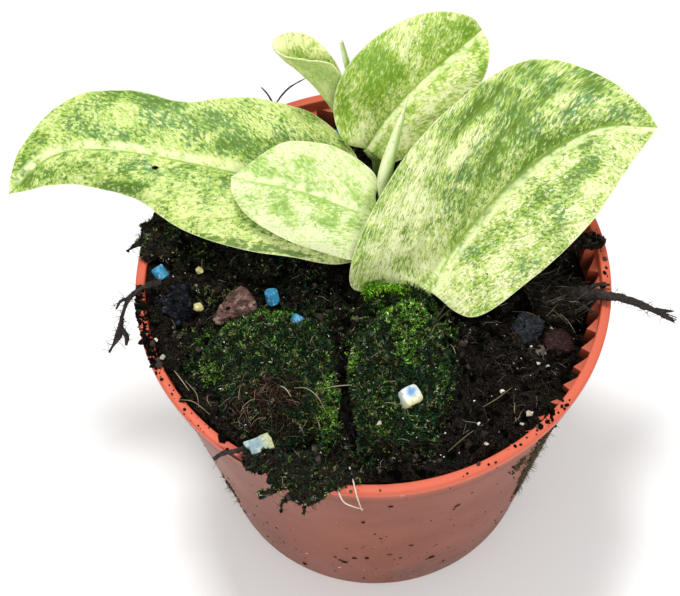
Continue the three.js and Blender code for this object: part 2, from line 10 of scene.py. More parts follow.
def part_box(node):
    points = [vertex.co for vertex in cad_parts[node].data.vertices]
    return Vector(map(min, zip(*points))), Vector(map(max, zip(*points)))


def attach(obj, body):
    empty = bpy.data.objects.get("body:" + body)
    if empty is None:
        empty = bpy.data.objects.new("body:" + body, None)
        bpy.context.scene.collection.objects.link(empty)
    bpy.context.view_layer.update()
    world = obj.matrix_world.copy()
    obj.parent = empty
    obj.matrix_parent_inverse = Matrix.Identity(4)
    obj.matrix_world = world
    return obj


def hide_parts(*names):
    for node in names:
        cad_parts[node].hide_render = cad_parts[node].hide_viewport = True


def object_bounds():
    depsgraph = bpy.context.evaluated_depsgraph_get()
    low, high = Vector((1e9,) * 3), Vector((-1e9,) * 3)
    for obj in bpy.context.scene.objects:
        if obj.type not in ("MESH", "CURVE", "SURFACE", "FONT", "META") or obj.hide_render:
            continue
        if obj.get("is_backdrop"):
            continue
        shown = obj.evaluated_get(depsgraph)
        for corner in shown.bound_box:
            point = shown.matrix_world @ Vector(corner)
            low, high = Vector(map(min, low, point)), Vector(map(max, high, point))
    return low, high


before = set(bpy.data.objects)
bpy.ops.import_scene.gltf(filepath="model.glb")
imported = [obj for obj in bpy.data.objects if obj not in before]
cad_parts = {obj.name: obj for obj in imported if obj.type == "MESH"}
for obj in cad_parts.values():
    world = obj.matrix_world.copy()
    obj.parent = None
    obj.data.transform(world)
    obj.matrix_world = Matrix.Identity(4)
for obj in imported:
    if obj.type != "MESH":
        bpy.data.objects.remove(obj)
cad_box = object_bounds()


# The pot is one thin moulding of terracotta-coloured plastic: a tapered wall on a foot ring, a wide
# collar over a stacking ledge with saw-toothed ribs, and a rolled rim. The floor is raised, with
# drain holes and a flat pad in its middle. Handling left a film of dust and splashes of mix on it.
# Below the rim the wall is painted a darker brown, partly that dust and partly painted shade, so
# that only the rim stays bright.
MM = 0.001  # sizes below are in millimetres, and make() turns them into metres
RIM_RADIUS = 60
POT_HEIGHT = 95
FOOT_RADIUS = 44
WALL = 1.1
STEP_LEVEL = 84.5
STEP_RADIUS = 57
LEDGE_LEVEL = 86.5
COLLAR_RADIUS = 59
COLLAR_FOOT_RADIUS = 58.3
RIM_DEPTH = 2.4
RIM_INNER_RADIUS = 57.6
LEDGE_RADIUS = 57
RIB_COUNT = 60
RIB_TOP = 91.5
RIB_FOOT = 84.2
RIB_CREST = 54.5
RIB_LEAN = 0.07  # how far the crests lean out with each millimetre of height
RIB_SHARES = [0, 0.1, 0.2, 0.375, 0.55, 0.725, 0.9]  # where a rib's facets begin within its pitch
RIB_CORNERS = [0, 0.1, 0.2, 0.9, 1]
RIB_HEIGHTS = [0, 0, 1, 0, 0]
FLOOR_LEVEL = 2.2
PAD_RADIUS = 12
PAD_SLOPE = 1.2
FOOT_WIDTH = 2.2
DRAIN_COUNT = 6
DRAIN_RADIUS = 3.5
DRAIN_CIRCLE = 34
DRAIN_DEPTH = 5
DRAIN_SIDES = 32
NOTCH_WIDTH = 6
NOTCH_HEIGHT = 0.8
NOTCH_DEPTH = 4.6
CORNER_PARTS = 3  # facets over each rounded corner of the outline


def tint(code):
    """A colour written as #rrggbb, as the linear values that a shader takes."""
    shares = [int(code[k : k + 2], 16) / 255 for k in (1, 3, 5)]
    return [s / 12.92 if s < 0.04045 else ((s + 0.055) / 1.055) ** 2.4 for s in shares] + [1]


def make(name, points, faces, finish, crease=40, **values):
    """An object from points in millimetres and faces, with named values at its points."""
    mesh = bpy.data.meshes.new(name)
    faces = faces.tolist() if isinstance(faces, np.ndarray) else faces
    mesh.from_pydata((np.asarray(points, float) * MM).tolist(), [], faces)
    for label, value in values.items():
        value = np.asarray(value, np.float32)
        kind, field = {1: ("FLOAT", "value"), 3: ("FLOAT_VECTOR", "vector"), 4: ("FLOAT_COLOR", "color")}[
            value.size // len(points)
        ]
        mesh.attributes.new(label, kind, "POINT").data.foreach_set(field, value.ravel())
    mesh.shade_smooth()
    mesh.set_sharp_from_angle(angle=math.radians(crease))
    mesh.materials.append(finish.material)
    piece = bpy.data.objects.new(name, mesh)
    bpy.context.scene.collection.objects.link(piece)
    return piece


def fit(piece, slot, *nodes):
    """The piece rides on the pot's one body and stands for its CAD nodes. Its slot is not used."""
    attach(piece, "root")
    if nodes:
        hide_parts(*nodes)


class Finish:
    """A material as it is built up: a ground colour, coats painted over it, and a fine grain.
    Without a ground colour, the ground is the stain that each point of the mesh carries."""

    def __init__(self, name, ground, roughness, specular):
        self.material = bpy.data.materials.new(name)
        self.material.use_nodes = True
        self.tree = self.material.node_tree
        self.shader = self.tree.nodes["Principled BSDF"]
        self.shader.inputs["Roughness"].default_value = roughness
        self.shader.inputs["Specular IOR Level"].default_value = specular
        if ground:
            self.ground = tint(ground)
        else:
            self.ground = self.add("ShaderNodeAttribute", attribute_name="stain").outputs["Color"]
        place = self.add("ShaderNodeTexCoord").outputs["Object"]
        self.place = self.add("ShaderNodeMapping", {"Vector": place, "Scale": [1 / MM] * 3}).outputs[0]

    def add(self, kind, inputs=None, **settings):
        node = self.tree.nodes.new(kind)
        for label, setting in settings.items():
            setattr(node, label, setting)
        for socket, value in (inputs or {}).items():
            if isinstance(value, bpy.types.NodeSocket):
                self.tree.links.new(value, node.inputs[socket])
            else:
                node.inputs[socket].default_value = value
        return node

    def noise(self, size, detail=3, place=None, rough=0.55, stretch=(1, 1, 1), shift=0):
        """Soft random values about 0.5, which vary over a size in millimetres."""
        place = place or self.place
        inputs = {"Vector": place, "Scale": stretch, "Location": (shift, 2 * shift, 0)}
        place = self.add("ShaderNodeMapping", inputs).outputs[0]
        inputs = {"Vector": place, "Scale": 1 / size, "Detail": detail, "Roughness": rough}
        return self.add("ShaderNodeTexNoise", inputs).outputs["Fac"]

    def value(self, label):
        return self.add("ShaderNodeAttribute", attribute_name=label).outputs["Fac"]

    def math(self, operation, first, second=0.0):
        return self.add("ShaderNodeMath", {0: first, 1: second}, operation=operation).outputs[0]

    def plus(self, first, second, share):
        inputs = {0: second, 1: share, 2: first}
        return self.add("ShaderNodeMath", inputs, operation="MULTIPLY_ADD").outputs[0]

    def step(self, value, low, high, top=1.0):
        """0 below low, `top` above high, and smooth between them."""
        inputs = {"Value": value, "From Min": low, "From Max": high, "To Max": top}
        return self.add("ShaderNodeMapRange", inputs, interpolation_type="SMOOTHSTEP").outputs[0]

    def paint(self, share, coat):
        coat = tint(coat) if isinstance(coat, str) else coat
        node = self.add("ShaderNodeMix", {0: share, 6: self.ground, 7: coat}, data_type="RGBA")
        self.ground = node.outputs[2]
        self.tree.links.new(self.ground, self.shader.inputs["Base Color"])

    def mottle(self, coat, size, low, high, top, **noise):
        """A coat in soft spots of a size: bare where the noise is below low, and full above high."""
        self.paint(self.step(self.noise(size, **noise), low, high, top=top), coat)

    def gloss(self, value, low, high):
        """Roughness between two bounds, by a value from 0 to 1."""
        node = self.add("ShaderNodeMapRange", {"Value": value, "To Min": low, "To Max": high})
        self.tree.links.new(node.outputs[0], self.shader.inputs["Roughness"])

    def hairs(self, turns, coat, top):
        """Fine straight fibres in the surface, lying along a few ways."""
        for k, turn in enumerate(turns):
            inputs = {"Vector": self.place, "Rotation": (0.3 * k, 0.5 * k, turn)}
            turned = self.add("ShaderNodeMapping", inputs).outputs[0]
            line = self.noise(0.13, detail=1, place=turned, stretch=(0.09, 1, 1), shift=5 * k)
            self.paint(self.step(line, 0.64, 0.69, top=top), coat)

    def grain(self, height, depth):
        """Relief too fine for the mesh, with its depth in millimetres."""
        node = self.add("ShaderNodeBump", {"Height": height, "Strength": 1.0, "Distance": depth * MM})
        self.tree.links.new(node.outputs[0], self.shader.inputs["Normal"])


def rounded(corners):
    """An outline through (radius, height, cut, ribbed) corners, each one rounded over its own cut."""
    outline = []
    for k, (radius, height, cut, ribbed) in enumerate(corners):
        here = np.array([radius, height], float)
        ends = []
        for other in (corners[k - 1], corners[(k + 1) % len(corners)]):
            way = np.array(other[:2]) - here
            ends.append(here + way * cut / np.linalg.norm(way))
        for t in np.linspace(0, 1, CORNER_PARTS + 1) if cut else [0]:
            point = (1 - t) ** 2 * ends[0] + 2 * t * (1 - t) * here + t * t * ends[1]
            outline.append((*point, ribbed))
    return outline


def around(radius, angles, level):
    """Places about the pot's axis."""
    level = np.broadcast_to(level, np.shape(angles))
    return np.stack([radius * np.cos(angles), radius * np.sin(angles), level], 1)


def inner_wall(height):
    return FOOT_RADIUS + (STEP_RADIUS - FOOT_RADIUS) * height / STEP_LEVEL - WALL


plastic = Finish("moulded plastic", "#ca5c41", roughness=0.45, specular=0.22)
film = plastic.noise(22, detail=5)
height = plastic.add("ShaderNodeSeparateXYZ", {"Vector": plastic.place}).outputs["Z"]
plastic.paint(plastic.step(film, 0.3, 0.75, top=0.25), "#b9664f")
# Painted shade and dust: below the rim the wall turns darker brown, leaving only the rim bright.
dust_and_shade = plastic.step(height, POT_HEIGHT - 1.5, POT_HEIGHT - 9)
plastic.paint(plastic.math("MULTIPLY", dust_and_shade, 0.85), "#763a23")
plastic.paint(plastic.math("MULTIPLY", dust_and_shade, plastic.step(film, 0.2, 0.8, top=0.5)), "#683928")
splash = plastic.plus(plastic.noise(1.6, detail=5, rough=0.7), plastic.noise(16), 0.45)
splash = plastic.plus(splash, plastic.step(height, 34, 2), 0.1)
plastic.paint(plastic.math("MULTIPLY", dust_and_shade, plastic.step(splash, 0.86, 0.93, top=0.75)), "#4a3429")
plastic.mottle("#3b2b22", 0.7, 0.74, 0.78, 0.5, shift=9)
plastic.gloss(film, 0.34, 0.56)
dust = plastic.noise(0.45, detail=4, rough=0.7)
plastic.paint(plastic.math("MULTIPLY", dust_and_shade, plastic.step(dust, 0.5, 0.75, top=0.3)), "#9c664a")
plastic.grain(dust, 0.02)

outline = rounded([
    (0, 0, 0, 0),
    (PAD_RADIUS, 0, 0.3, 0),
    (PAD_RADIUS + PAD_SLOPE, FLOOR_LEVEL, 0.5, 0),
    (FOOT_RADIUS - FOOT_WIDTH - 0.7, FLOOR_LEVEL, 0.5, 0),
    (FOOT_RADIUS - FOOT_WIDTH, 0, 0.4, 0),
    (FOOT_RADIUS, 0, 0.7, 0),
    (FOOT_RADIUS + (STEP_RADIUS - FOOT_RADIUS) / 2, STEP_LEVEL / 2, 0, 0),
    (STEP_RADIUS, STEP_LEVEL, 0.5, 0),
    (COLLAR_FOOT_RADIUS, STEP_LEVEL + 0.6, 0.5, 0),
    (COLLAR_RADIUS, POT_HEIGHT - RIM_DEPTH, 0.3, 0),
    (RIM_RADIUS, POT_HEIGHT - RIM_DEPTH, 0.45, 0),
    (RIM_RADIUS, POT_HEIGHT, 0.6, 0),
    (RIM_INNER_RADIUS, POT_HEIGHT, 0.4, 0),
    (LEDGE_RADIUS + 0.4, RIB_TOP + 0.1, 0, 0),
    (LEDGE_RADIUS + 0.4, RIB_TOP, 0, 1),
    (LEDGE_RADIUS, LEDGE_LEVEL, 0, 1),
    (STEP_RADIUS - WALL, STEP_LEVEL, 0, 1),
    (STEP_RADIUS - WALL, RIB_FOOT, 0, 0),
    (inner_wall(3.6), FLOOR_LEVEL + WALL, 0.8, 0),
    (PAD_RADIUS + PAD_SLOPE, FLOOR_LEVEL + WALL, 0.5, 0),
    (PAD_RADIUS, WALL, 0.3, 0),
    (0, WALL, 0, 0),
])
pitch = 2 * math.pi / RIB_COUNT
turns = np.array([(i + share) * pitch for i in range(RIB_COUNT) for share in RIB_SHARES])
teeth = np.tile(np.interp(RIB_SHARES, RIB_CORNERS, RIB_HEIGHTS), RIB_COUNT)
rows = []
for radius, level, ribbed in outline:
    reach = radius - ribbed * teeth * (radius - RIB_CREST - RIB_LEAN * (level - STEP_LEVEL))
    rows.append(around(reach, turns, level))
count = len(turns)
base = np.arange(len(outline) - 1)[:, None] * count + np.arange(count)
after = np.arange(len(outline) - 1)[:, None] * count + (np.arange(count) + 1) % count
pot_faces = np.stack([base, after, after + count, base + count], -1).reshape(-1, 4)
pot = make("pot_shell", np.concatenate(rows), pot_faces, plastic, crease=35)
shell = bmesh.new()
shell.from_mesh(pot.data)
bmesh.ops.remove_doubles(shell, verts=shell.verts, dist=1e-6)
bmesh.ops.recalc_face_normals(shell, faces=shell.faces)
shell.to_mesh(pot.data)
shell.free()

cutters = bmesh.new()
for i in range(DRAIN_COUNT):
    angle = 2 * math.pi * (i + 0.5) / DRAIN_COUNT
    made = bmesh.ops.create_cone(
        cutters, cap_ends=True, segments=DRAIN_SIDES, depth=DRAIN_DEPTH * MM,
        radius1=DRAIN_RADIUS * MM, radius2=DRAIN_RADIUS * MM,
    )
    centre = [DRAIN_CIRCLE * MM * math.cos(angle), DRAIN_CIRCLE * MM * math.sin(angle), FLOOR_LEVEL * MM]
    bmesh.ops.translate(cutters, verts=made["verts"], vec=centre)
    made = bmesh.ops.create_cube(cutters, size=1)
    notch = [NOTCH_DEPTH * MM, NOTCH_WIDTH * MM, 2 * NOTCH_HEIGHT * MM]
    bmesh.ops.scale(cutters, verts=made["verts"], vec=notch)
    bmesh.ops.translate(cutters, verts=made["verts"], vec=[(FOOT_RADIUS - FOOT_WIDTH / 2) * MM, 0, 0])
    turn = [[math.cos(angle), -math.sin(angle), 0], [math.sin(angle), math.cos(angle), 0], [0, 0, 1]]
    for vertex in made["verts"]:
        vertex.co = [sum(row[k] * vertex.co[k] for k in range(3)) for row in turn]
cutter_mesh = bpy.data.meshes.new("drain_cutters")
cutters.to_mesh(cutter_mesh)
cutters.free()
cutter = bpy.data.objects.new("drain_cutters", cutter_mesh)
bpy.context.scene.collection.objects.link(cutter)
cut = pot.modifiers.new("drains", "BOOLEAN")
cut.operation = "DIFFERENCE"
cut.solver = "MANIFOLD"
cut.object = cutter
bpy.context.view_layer.update()
cut_mesh = bpy.data.meshes.new_from_object(pot.evaluated_get(bpy.context.evaluated_depsgraph_get()))
pot.modifiers.clear()
pot.data = cut_mesh
bpy.data.objects.remove(cutter)
fit(pot, "pot_plastic", "pot")


# The potting mix is damp black peat with crumbs, fibres, bits of bark and a few white specks. It
# fills the pot from its floor and is heaped up at the front and the left, where it meets the rim.
# At the right it lies a thumb's width lower, with the ribs of the pot standing free above it.
CENTRE_LEVEL = 91
EDGE_LEVELS = [82.5, 84, 86, 91, 94.5, 95.5, 95, 91.5]  # at the wall, every 45 degrees from +X
MIX_CELLS = 200  # across the mix
CRUMB_RELIEF = [(1.1, 2.9), (0.85, 1.3), (0.5, 0.65)]  # height and spacing
CALM_REACH = 2.6  # about each small piece
SKIRT_LEVELS = (78, 40, 4)
rng = np.random.default_rng(488)
LATTICE = rng.random((48, 48, 48))


def rough(points, size):
    """Soft random values from -1 to 1 in space, which vary over a size."""
    place = np.asarray(points, float) / size
    cell = np.floor(place).astype(int)
    share = place - cell
    share = share * share * (3 - 2 * share)
    total = np.zeros(len(place))
    for corner in np.ndindex(2, 2, 2):
        weight = np.where(corner, share, 1 - share).prod(axis=1)
        total += weight * LATTICE[tuple(((cell + corner) % 48).T)]
    return 2 * total - 1


def flat(x, y):
    """Places on the ground as points in space, for rough()."""
    return np.stack([x, y, np.full(np.shape(x), 3.7)], -1)


def mix_level(x, y):
    """The level of the mix without its crumbs: from the centre out to its edge at the wall."""
    out = np.minimum(np.hypot(x, y) / RIB_CREST, 1)
    at = (np.arctan2(y, x) / (2 * np.pi) * len(EDGE_LEVELS)) % len(EDGE_LEVELS)
    low = np.floor(at).astype(int)
    blend = (1 - np.cos(np.pi * (at - low))) / 2
    levels = np.array(EDGE_LEVELS)
    edge = levels[low % len(levels)] * (1 - blend) + levels[(low + 1) % len(levels)] * blend
    swell = np.sin(0.62 * x + 1.3) * np.sin(0.57 * y) + 0.6 * np.sin(1.1 * x - 0.8 * y)
    return CENTRE_LEVEL + (edge - CENTRE_LEVEL) * out**2 + 0.7 * swell * (1 - 0.5 * out)


small_kinds = ("granule", "grain", "bark", "charcoal")
small_pieces = [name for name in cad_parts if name.split("_")[0] in small_kinds]
small_places = [(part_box(name)[0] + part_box(name)[1]) / 2 / MM for name in small_pieces]


def crumble(x, y):
    """The relief of the crumbs on the mix."""
    here = flat(x, y)
    return sum(height * rough(here, spacing) for height, spacing in CRUMB_RELIEF)


def mix_surface(x, y):
    """The crumbly top of the mix, calmer beside the small pieces that lie in it."""
    calm = np.ones(np.shape(x))
    for place in small_places:
        calm -= 0.7 * np.exp(-((x - place.x) ** 2 + (y - place.y) ** 2) / CALM_REACH**2)
    return mix_level(x, y) + (1.1 * rough(flat(x, y), 6.5) + crumble(x, y)) * np.clip(calm, 0.2, 1) - 0.2


def inside(level):
    """How far out the mix reaches at a level: to the wall, or past the ribs to the collar."""
    return np.where(level < STEP_LEVEL, inner_wall(np.minimum(level, STEP_LEVEL)), LEDGE_RADIUS) + 0.3


u, v = np.meshgrid(*[np.linspace(-1, 1, MIX_CELLS + 1)] * 2, indexing="ij")
u, v = u.ravel(), v.ravel()
steep = abs(u) < abs(v)
share = np.where(steep, v, u)
turn = np.pi / 4 * np.where(steep, u, v) / np.where(share == 0, 1, share)
turn = np.where(steep, np.pi / 2 - turn, turn) + np.pi * (share < 0)
edge_level = mix_surface(LEDGE_RADIUS * np.cos(turn), LEDGE_RADIUS * np.sin(turn))
reach = abs(share) * inside(edge_level)
x, y = reach * np.cos(turn), reach * np.sin(turn)
top = np.stack([x, y, mix_surface(x, y)], 1)
side = MIX_CELLS + 1
corner = (np.arange(MIX_CELLS)[:, None] * side + np.arange(MIX_CELLS)).ravel()
top_faces = np.stack([corner, corner + side, corner + side + 1, corner + 1], 1)
lap = np.concatenate([
    np.arange(MIX_CELLS) * side,
    MIX_CELLS * side + np.arange(MIX_CELLS),
    (side - np.arange(1, side)) * side + MIX_CELLS,
    MIX_CELLS - np.arange(MIX_CELLS),
])
lap = lap[np.sort(np.unique(lap, return_index=True)[1])]
skirt = [top[lap]]
for level in SKIRT_LEVELS:
    outer = np.minimum(inner_wall(level) - 0.3, np.hypot(*top[lap, :2].T))
    angle = np.arctan2(top[lap, 1], top[lap, 0])
    skirt.append(around(outer, angle, level))
mix_points = np.concatenate([top] + skirt[1:] + [[[0, 0, SKIRT_LEVELS[-1]]]])
loops = [lap] + [len(top) + k * len(lap) + np.arange(len(lap)) for k in range(len(SKIRT_LEVELS))]
mix_faces = top_faces.tolist()
for upper, lower in zip(loops, loops[1:]):
    mix_faces += np.stack([upper, np.roll(upper, -1), np.roll(lower, -1), lower], 1).tolist()
mix_faces += [[a, b, len(mix_points) - 1] for a, b in zip(loops[-1], np.roll(loops[-1], -1))]

peat = Finish("damp peat", "#060403", roughness=0.75, specular=0.01)
peat.mottle("#0c0a08", 2.2, 0.45, 0.7, 0.8, detail=5)
# Painted light: the tops of the crumbs are lighter.
peat.paint(peat.step(peat.value("high"), 0.2, 1.4, top=0.7), "#1b1613")
peat.mottle("#38302a", 0.8, 0.6, 0.7, 0.55, detail=4, shift=5, rough=0.7)
peat.mottle("#161c10", 9, 0.5, 0.75, 0.35, detail=2, shift=2)
peat.hairs((0.3, 1.5, 2.6), "#5c5348", top=0.5)
# Painted shade: the hollows between the crumbs are near black.
peat.paint(peat.step(peat.value("high"), -0.15, -1, top=0.95), "#020201")
peat.grain(peat.noise(0.4, detail=4), 0.3)

high = np.zeros(len(mix_points))
high[: len(top)] = crumble(x, y)
mix = make("mix_body", mix_points, mix_faces, peat, crease=75, high=high)
fit(mix, "potting_mix", "soil")


# The two mounds are old plugs of mix that moss has covered: uneven domes with a dark cleft between
# them. Each is a body of peat with a carpet of short, star-shaped shoots, with painted shade at the
# feet of their leaflets and painted light at the tips. The moss is worn away on top of the left
# mound, and thin cushions of it grow elsewhere on the mix.
MOUNDS = {
    "moss_mound_left": {
        "centre": (-25, -27), "half": (16.5, 19.5), "turn": 0.25,
        "crown": 100, "lobes": 3, "shoots": 7600,
    },
    "moss_mound_right": {
        "centre": (4.6, -28.8), "half": (11.8, 22.5), "turn": -0.08,
        "crown": 99.5, "lobes": 2, "shoots": 6200,
    },
}
MOUND_SEAT = 88
MOUND_EDGE_LEVEL = 91
MOUND_SIDES = 150
MOUND_LOOPS = 44


def mound_wobble(form, angle):
    """How far a mound's outline strays from an oval."""
    return 1 + 0.06 * np.sin(form["lobes"] * angle + form["turn"]) + 0.04 * np.sin(5 * angle)


def mound_spots(form, share, angle):
    """Spots at a share of the way out from a mound's middle, at angles about it."""
    ways = zip(form["half"], (np.cos, np.sin))
    a, b = [half * share * mound_wobble(form, angle) * way(angle) for half, way in ways]
    c, s = math.cos(form["turn"]), math.sin(form["turn"])
    return form["centre"][0] + c * a - s * b, form["centre"][1] + s * a + c * b


def mound_share(form, x, y):
    """How far out on a mound a place is: 0 in its middle and 1 at its edge."""
    dx, dy = x - form["centre"][0], y - form["centre"][1]
    c, s = math.cos(form["turn"]), math.sin(form["turn"])
    a, b = (c * dx + s * dy) / form["half"][0], (c * dy - s * dx) / form["half"][1]
    return np.hypot(a, b) / mound_wobble(form, np.arctan2(b, a))


def mound_level(form, x, y, share):
    cx, cy = form["centre"]
    out = np.maximum(share, 0.02)
    edge = np.maximum(mix_level(cx + (x - cx) / out, cy + (y - cy) / out), MOUND_EDGE_LEVEL) + 0.7
    level = edge + (form["crown"] - edge) * np.sqrt(np.clip(1 - share**2, 0, 1))
    level = level + 0.7 * np.sin(0.9 * x + form["turn"]) * np.cos(0.8 * y) * (1 - share**4)
    here = flat(x, y)
    return level + 0.7 * rough(here, 4.5) + 0.45 * rough(here, 1.9) + 0.2 * rough(here, 0.8)


def ground(x, y):
    """The level of whatever lies on top: the mix or a mound."""
    level = mix_surface(x, y)
    for form in MOUNDS.values():
        share = mound_share(form, x, y)
        dome = mound_level(form, x, y, np.minimum(share, 1))
        level = np.where(share < 1, np.maximum(level, dome), level)
    return level


def laid(spots, lift=0):
    """Spots on the plan as places on the ground, or a lift above it."""
    return np.concatenate([spots, (ground(*spots.T) + lift)[:, None]], 1)


def clear_of_mounds(spots):
    """How far out spots are from the mounds: below 1 on a mound, and 1 at its edge."""
    return np.min([mound_share(form, *spots.T) for form in MOUNDS.values()], axis=0)


def clear_of_pieces(spots):
    """How far spots are from the nearest small piece."""
    return np.min([np.hypot(spots[:, 0] - p.x, spots[:, 1] - p.y) for p in small_places], axis=0)


def unit(ways):
    """Ways brought to a length of one."""
    return ways / np.maximum(np.linalg.norm(ways, axis=-1, keepdims=True), 1e-9)


def rings(loops):
    """A skin over loops of equal numbers of points, with a middle point at each end."""
    count = len(loops[0])
    points = np.concatenate(loops)
    row = np.arange(len(loops) - 1)[:, None] * count
    here = row + np.arange(count)
    after = row + (np.arange(count) + 1) % count
    faces = np.stack([here, after, after + count, here + count], -1).reshape(-1, 4).tolist()
    last = len(points)
    points = np.concatenate([points, [np.mean(loops[0], 0)], [np.mean(loops[-1], 0)]])
    top = (len(loops) - 1) * count
    for k in range(count):
        faces.append([(k + 1) % count, k, last])
        faces.append([top + k, top + (k + 1) % count, last + 1])
    return points, faces


def scattered(points, faces, count):
    """Random places on a skin, spread evenly by area, with the way that the skin faces there."""
    triangles = [(face[0], face[k], face[k + 1]) for face in faces for k in range(1, len(face) - 1)]
    a, b, c = np.asarray(points)[np.array(triangles)].transpose(1, 0, 2)
    normals = np.cross(b - a, c - a)
    areas = np.linalg.norm(normals, axis=1)
    chosen = rng.choice(len(areas), count, p=areas / areas.sum())
    first, second = rng.random((2, count, 1))
    beyond = first + second > 1
    first, second = np.where(beyond, 1 - first, first), np.where(beyond, 1 - second, second)
    places = a[chosen] + first * (b - a)[chosen] + second * (c - a)[chosen]
    return places, normals[chosen] / areas[chosen, None]


def aimed(aims):
    """Turns that lead +Z to each aim, each with a random roll, as matrices."""
    aims = unit(aims)
    across = unit(np.cross(aims, rng.normal(size=aims.shape)))
    return np.stack([across, np.cross(aims, across), aims], -1)


def strewn(shape, places, sizes, turns):
    """Copies of a small shape, each scaled by its sizes, turned and moved to its place."""
    points, faces = shape
    copies = np.einsum("nij,nkj->nki", turns, points * sizes[:, None]) + places[:, None]
    faces = faces + np.arange(len(places))[:, None, None] * len(points)
    return copies.reshape(-1, 3), faces.reshape(-1, faces.shape[-1])


def stained(codes, count, uneven=0.25):
    """One colour a copy, drawn from a few, each a little lighter or darker."""
    stains = np.array([tint(code) for code in codes])[rng.integers(len(codes), size=count)]
    stains[:, :3] *= np.exp(rng.normal(size=(count, 1)) * uneven)
    return stains


moss_leaflet = (
    np.array([(0, 0.2, 0), (-0.5, -0.1, 0.4), (0.5, -0.1, 0.4), (0, 0.1, 1)]),
    np.array([(0, 2, 1), (0, 1, 3), (0, 3, 2), (1, 2, 3)]),
)
LEAFLETS = 5  # on each shoot
LEAFLET_WIDTH = 0.36
# Painted shade at the foot of each leaflet and painted light at its tip.
LEAFLET_SHADE = np.array([0.12, 0.75, 0.75, 2.4])  # dark at the foot, bright at the tip


def moss(name, places, facings, stains, length=1.1):
    """Shoots of moss: at each place, a star of leaflets that lean out from the way it faces."""
    count = len(places)
    spread = rng.normal(size=(count, LEAFLETS, 3))
    spread -= (spread * facings[:, None]).sum(-1, keepdims=True) * facings[:, None]
    lean = rng.uniform(0.35, 1.5, (count, LEAFLETS, 1))
    aims = (facings[:, None] + lean * unit(spread)).reshape(-1, 3)
    lengths = length * rng.uniform(0.6, 1.25, (count, 1)) * rng.uniform(0.7, 1.2, (count, LEAFLETS))
    lengths = lengths.reshape(-1, 1)
    widths = LEAFLET_WIDTH * rng.uniform(0.7, 1.2, lengths.shape)
    feet = np.repeat(places, LEAFLETS, axis=0) - 0.15 * np.repeat(facings, LEAFLETS, axis=0)
    points, faces = strewn(moss_leaflet, feet, np.concatenate([widths, widths, lengths], 1), aimed(aims))
    # Each leaflet gets painted shade at its foot and painted light at its tip.
    shades = np.repeat(stains, LEAFLETS, axis=0)[:, None].repeat(4, axis=1)
    shades[:, :, :3] *= LEAFLET_SHADE[:, None] * np.exp(rng.normal(size=(len(shades), 1, 1)) * 0.45)
    fit(make(name, points, faces, moss_green, crease=50, stain=shades.reshape(-1, 4)), "moss")


moss_green = Finish("moss leaflets", None, roughness=0.5, specular=0.12)
moss_green.mottle("#56803a", 0.5, 0.58, 0.75, 0.3)

loam = Finish("mossy peat", "#060503", roughness=0.8, specular=0.01)
loam.mottle("#0f0c09", 2.6, 0.42, 0.66, 0.8, detail=5)
loam.mottle("#35281d", 0.8, 0.56, 0.66, 0.7, detail=4, shift=4, rough=0.7)
felt = loam.step(loam.value("worn"), 0.55, 0.35)
loam.paint(felt, "#070d06")
felt_light = loam.noise(0.5, detail=3, rough=0.7)
loam.paint(loam.math("MULTIPLY", felt, loam.step(felt_light, 0.52, 0.64, top=0.9)), "#1f3316")
loam.paint(loam.math("MULTIPLY", felt, loam.step(loam.noise(0.4, shift=4), 0.66, 0.74, top=0.7)), "#5d7445")
loam.hairs((0.9, 2.2), "#5e4a38", top=0.5)
loam.grain(felt_light, 0.35)

DEEP_MOSS = ["#162914", "#1b3218", "#112418", "#243819", "#132b20"]
BRIGHT_MOSS = ["#487420", "#3a6220", "#688a38"]
OLIVE_MOSS = ["#4c5223", "#5c5a33", "#6f7458"]
# Thin or worn places: centre, half widths, and the share of shoots that stay
WORN = [
    ((-25, -34.8), (8, 5.5), 0.1), ((-36, -42), (10, 9.5), 0.08), ((-22, -43), (7, 4), 0.3),
    ((-43, -35), (6, 8), 0.1), ((6, -52), (15, 5), 0.04),
]
# Places with bright moss: centre and half widths
BRIGHT = [
    ((-25.4, -11), (5.5, 3.6)), ((-38.2, -14.2), (4.5, 2)), ((-41.4, -27.5), (2.4, 4)),
    ((-12.2, -38), (3.4, 8)),
    ((-6, -24), (2.4, 8)), ((7.5, -20), (4, 8)), ((6, -11), (7, 4)),
]
OLIVE = ((-39.5, -3), (6, 3.2))
MOSS_SHADE = 0.82
# The cleft between the mounds stays bare and dark
CLEFT = [(-10.5, -14.5), (-9.5, -25), (-8, -33), (-7.4, -40.5), (-7.1, -45.5)]


def from_line(line, x, y):
    """How far places are from a line over the ground."""
    away = np.full(np.shape(x), np.inf)
    for (ax, ay), (bx, by) in zip(line, line[1:]):
        along = ((x - ax) * (bx - ax) + (y - ay) * (by - ay)) / ((bx - ax) ** 2 + (by - ay) ** 2)
        along = np.clip(along, 0, 1)
        away = np.minimum(away, np.hypot(x - ax - along * (bx - ax), y - ay - along * (by - ay)))
    return away


def blot(x, y, centre, half):
    """1 in the middle of an oval place and 0 outside it."""
    away = np.hypot((x - centre[0]) / half[0], (y - centre[1]) / half[1])
    return np.clip(1.6 - 1.3 * away, 0, 1)


def moss_stains(places):
    """Bright, deep or olive moss, by place and by chance."""
    x, y = places[:, 0], places[:, 1]
    light = 0.19 + 0.4 * rough(flat(x, y), 4) + rng.normal(size=len(x)) * 0.22
    for centre, half in BRIGHT:
        light += 0.65 * blot(x, y, centre, half)
    deep, bright, olive = [stained(codes, len(x), 0.4) for codes in (DEEP_MOSS, BRIGHT_MOSS, OLIVE_MOSS)]
    stains = np.where(light[:, None] > 0.55, bright, deep)
    share = 0.16 + 0.6 * blot(x, y, *OLIVE)
    return np.where(rng.random(len(x))[:, None] < share[:, None], olive, stains) * (*[MOSS_SHADE] * 3, 1)


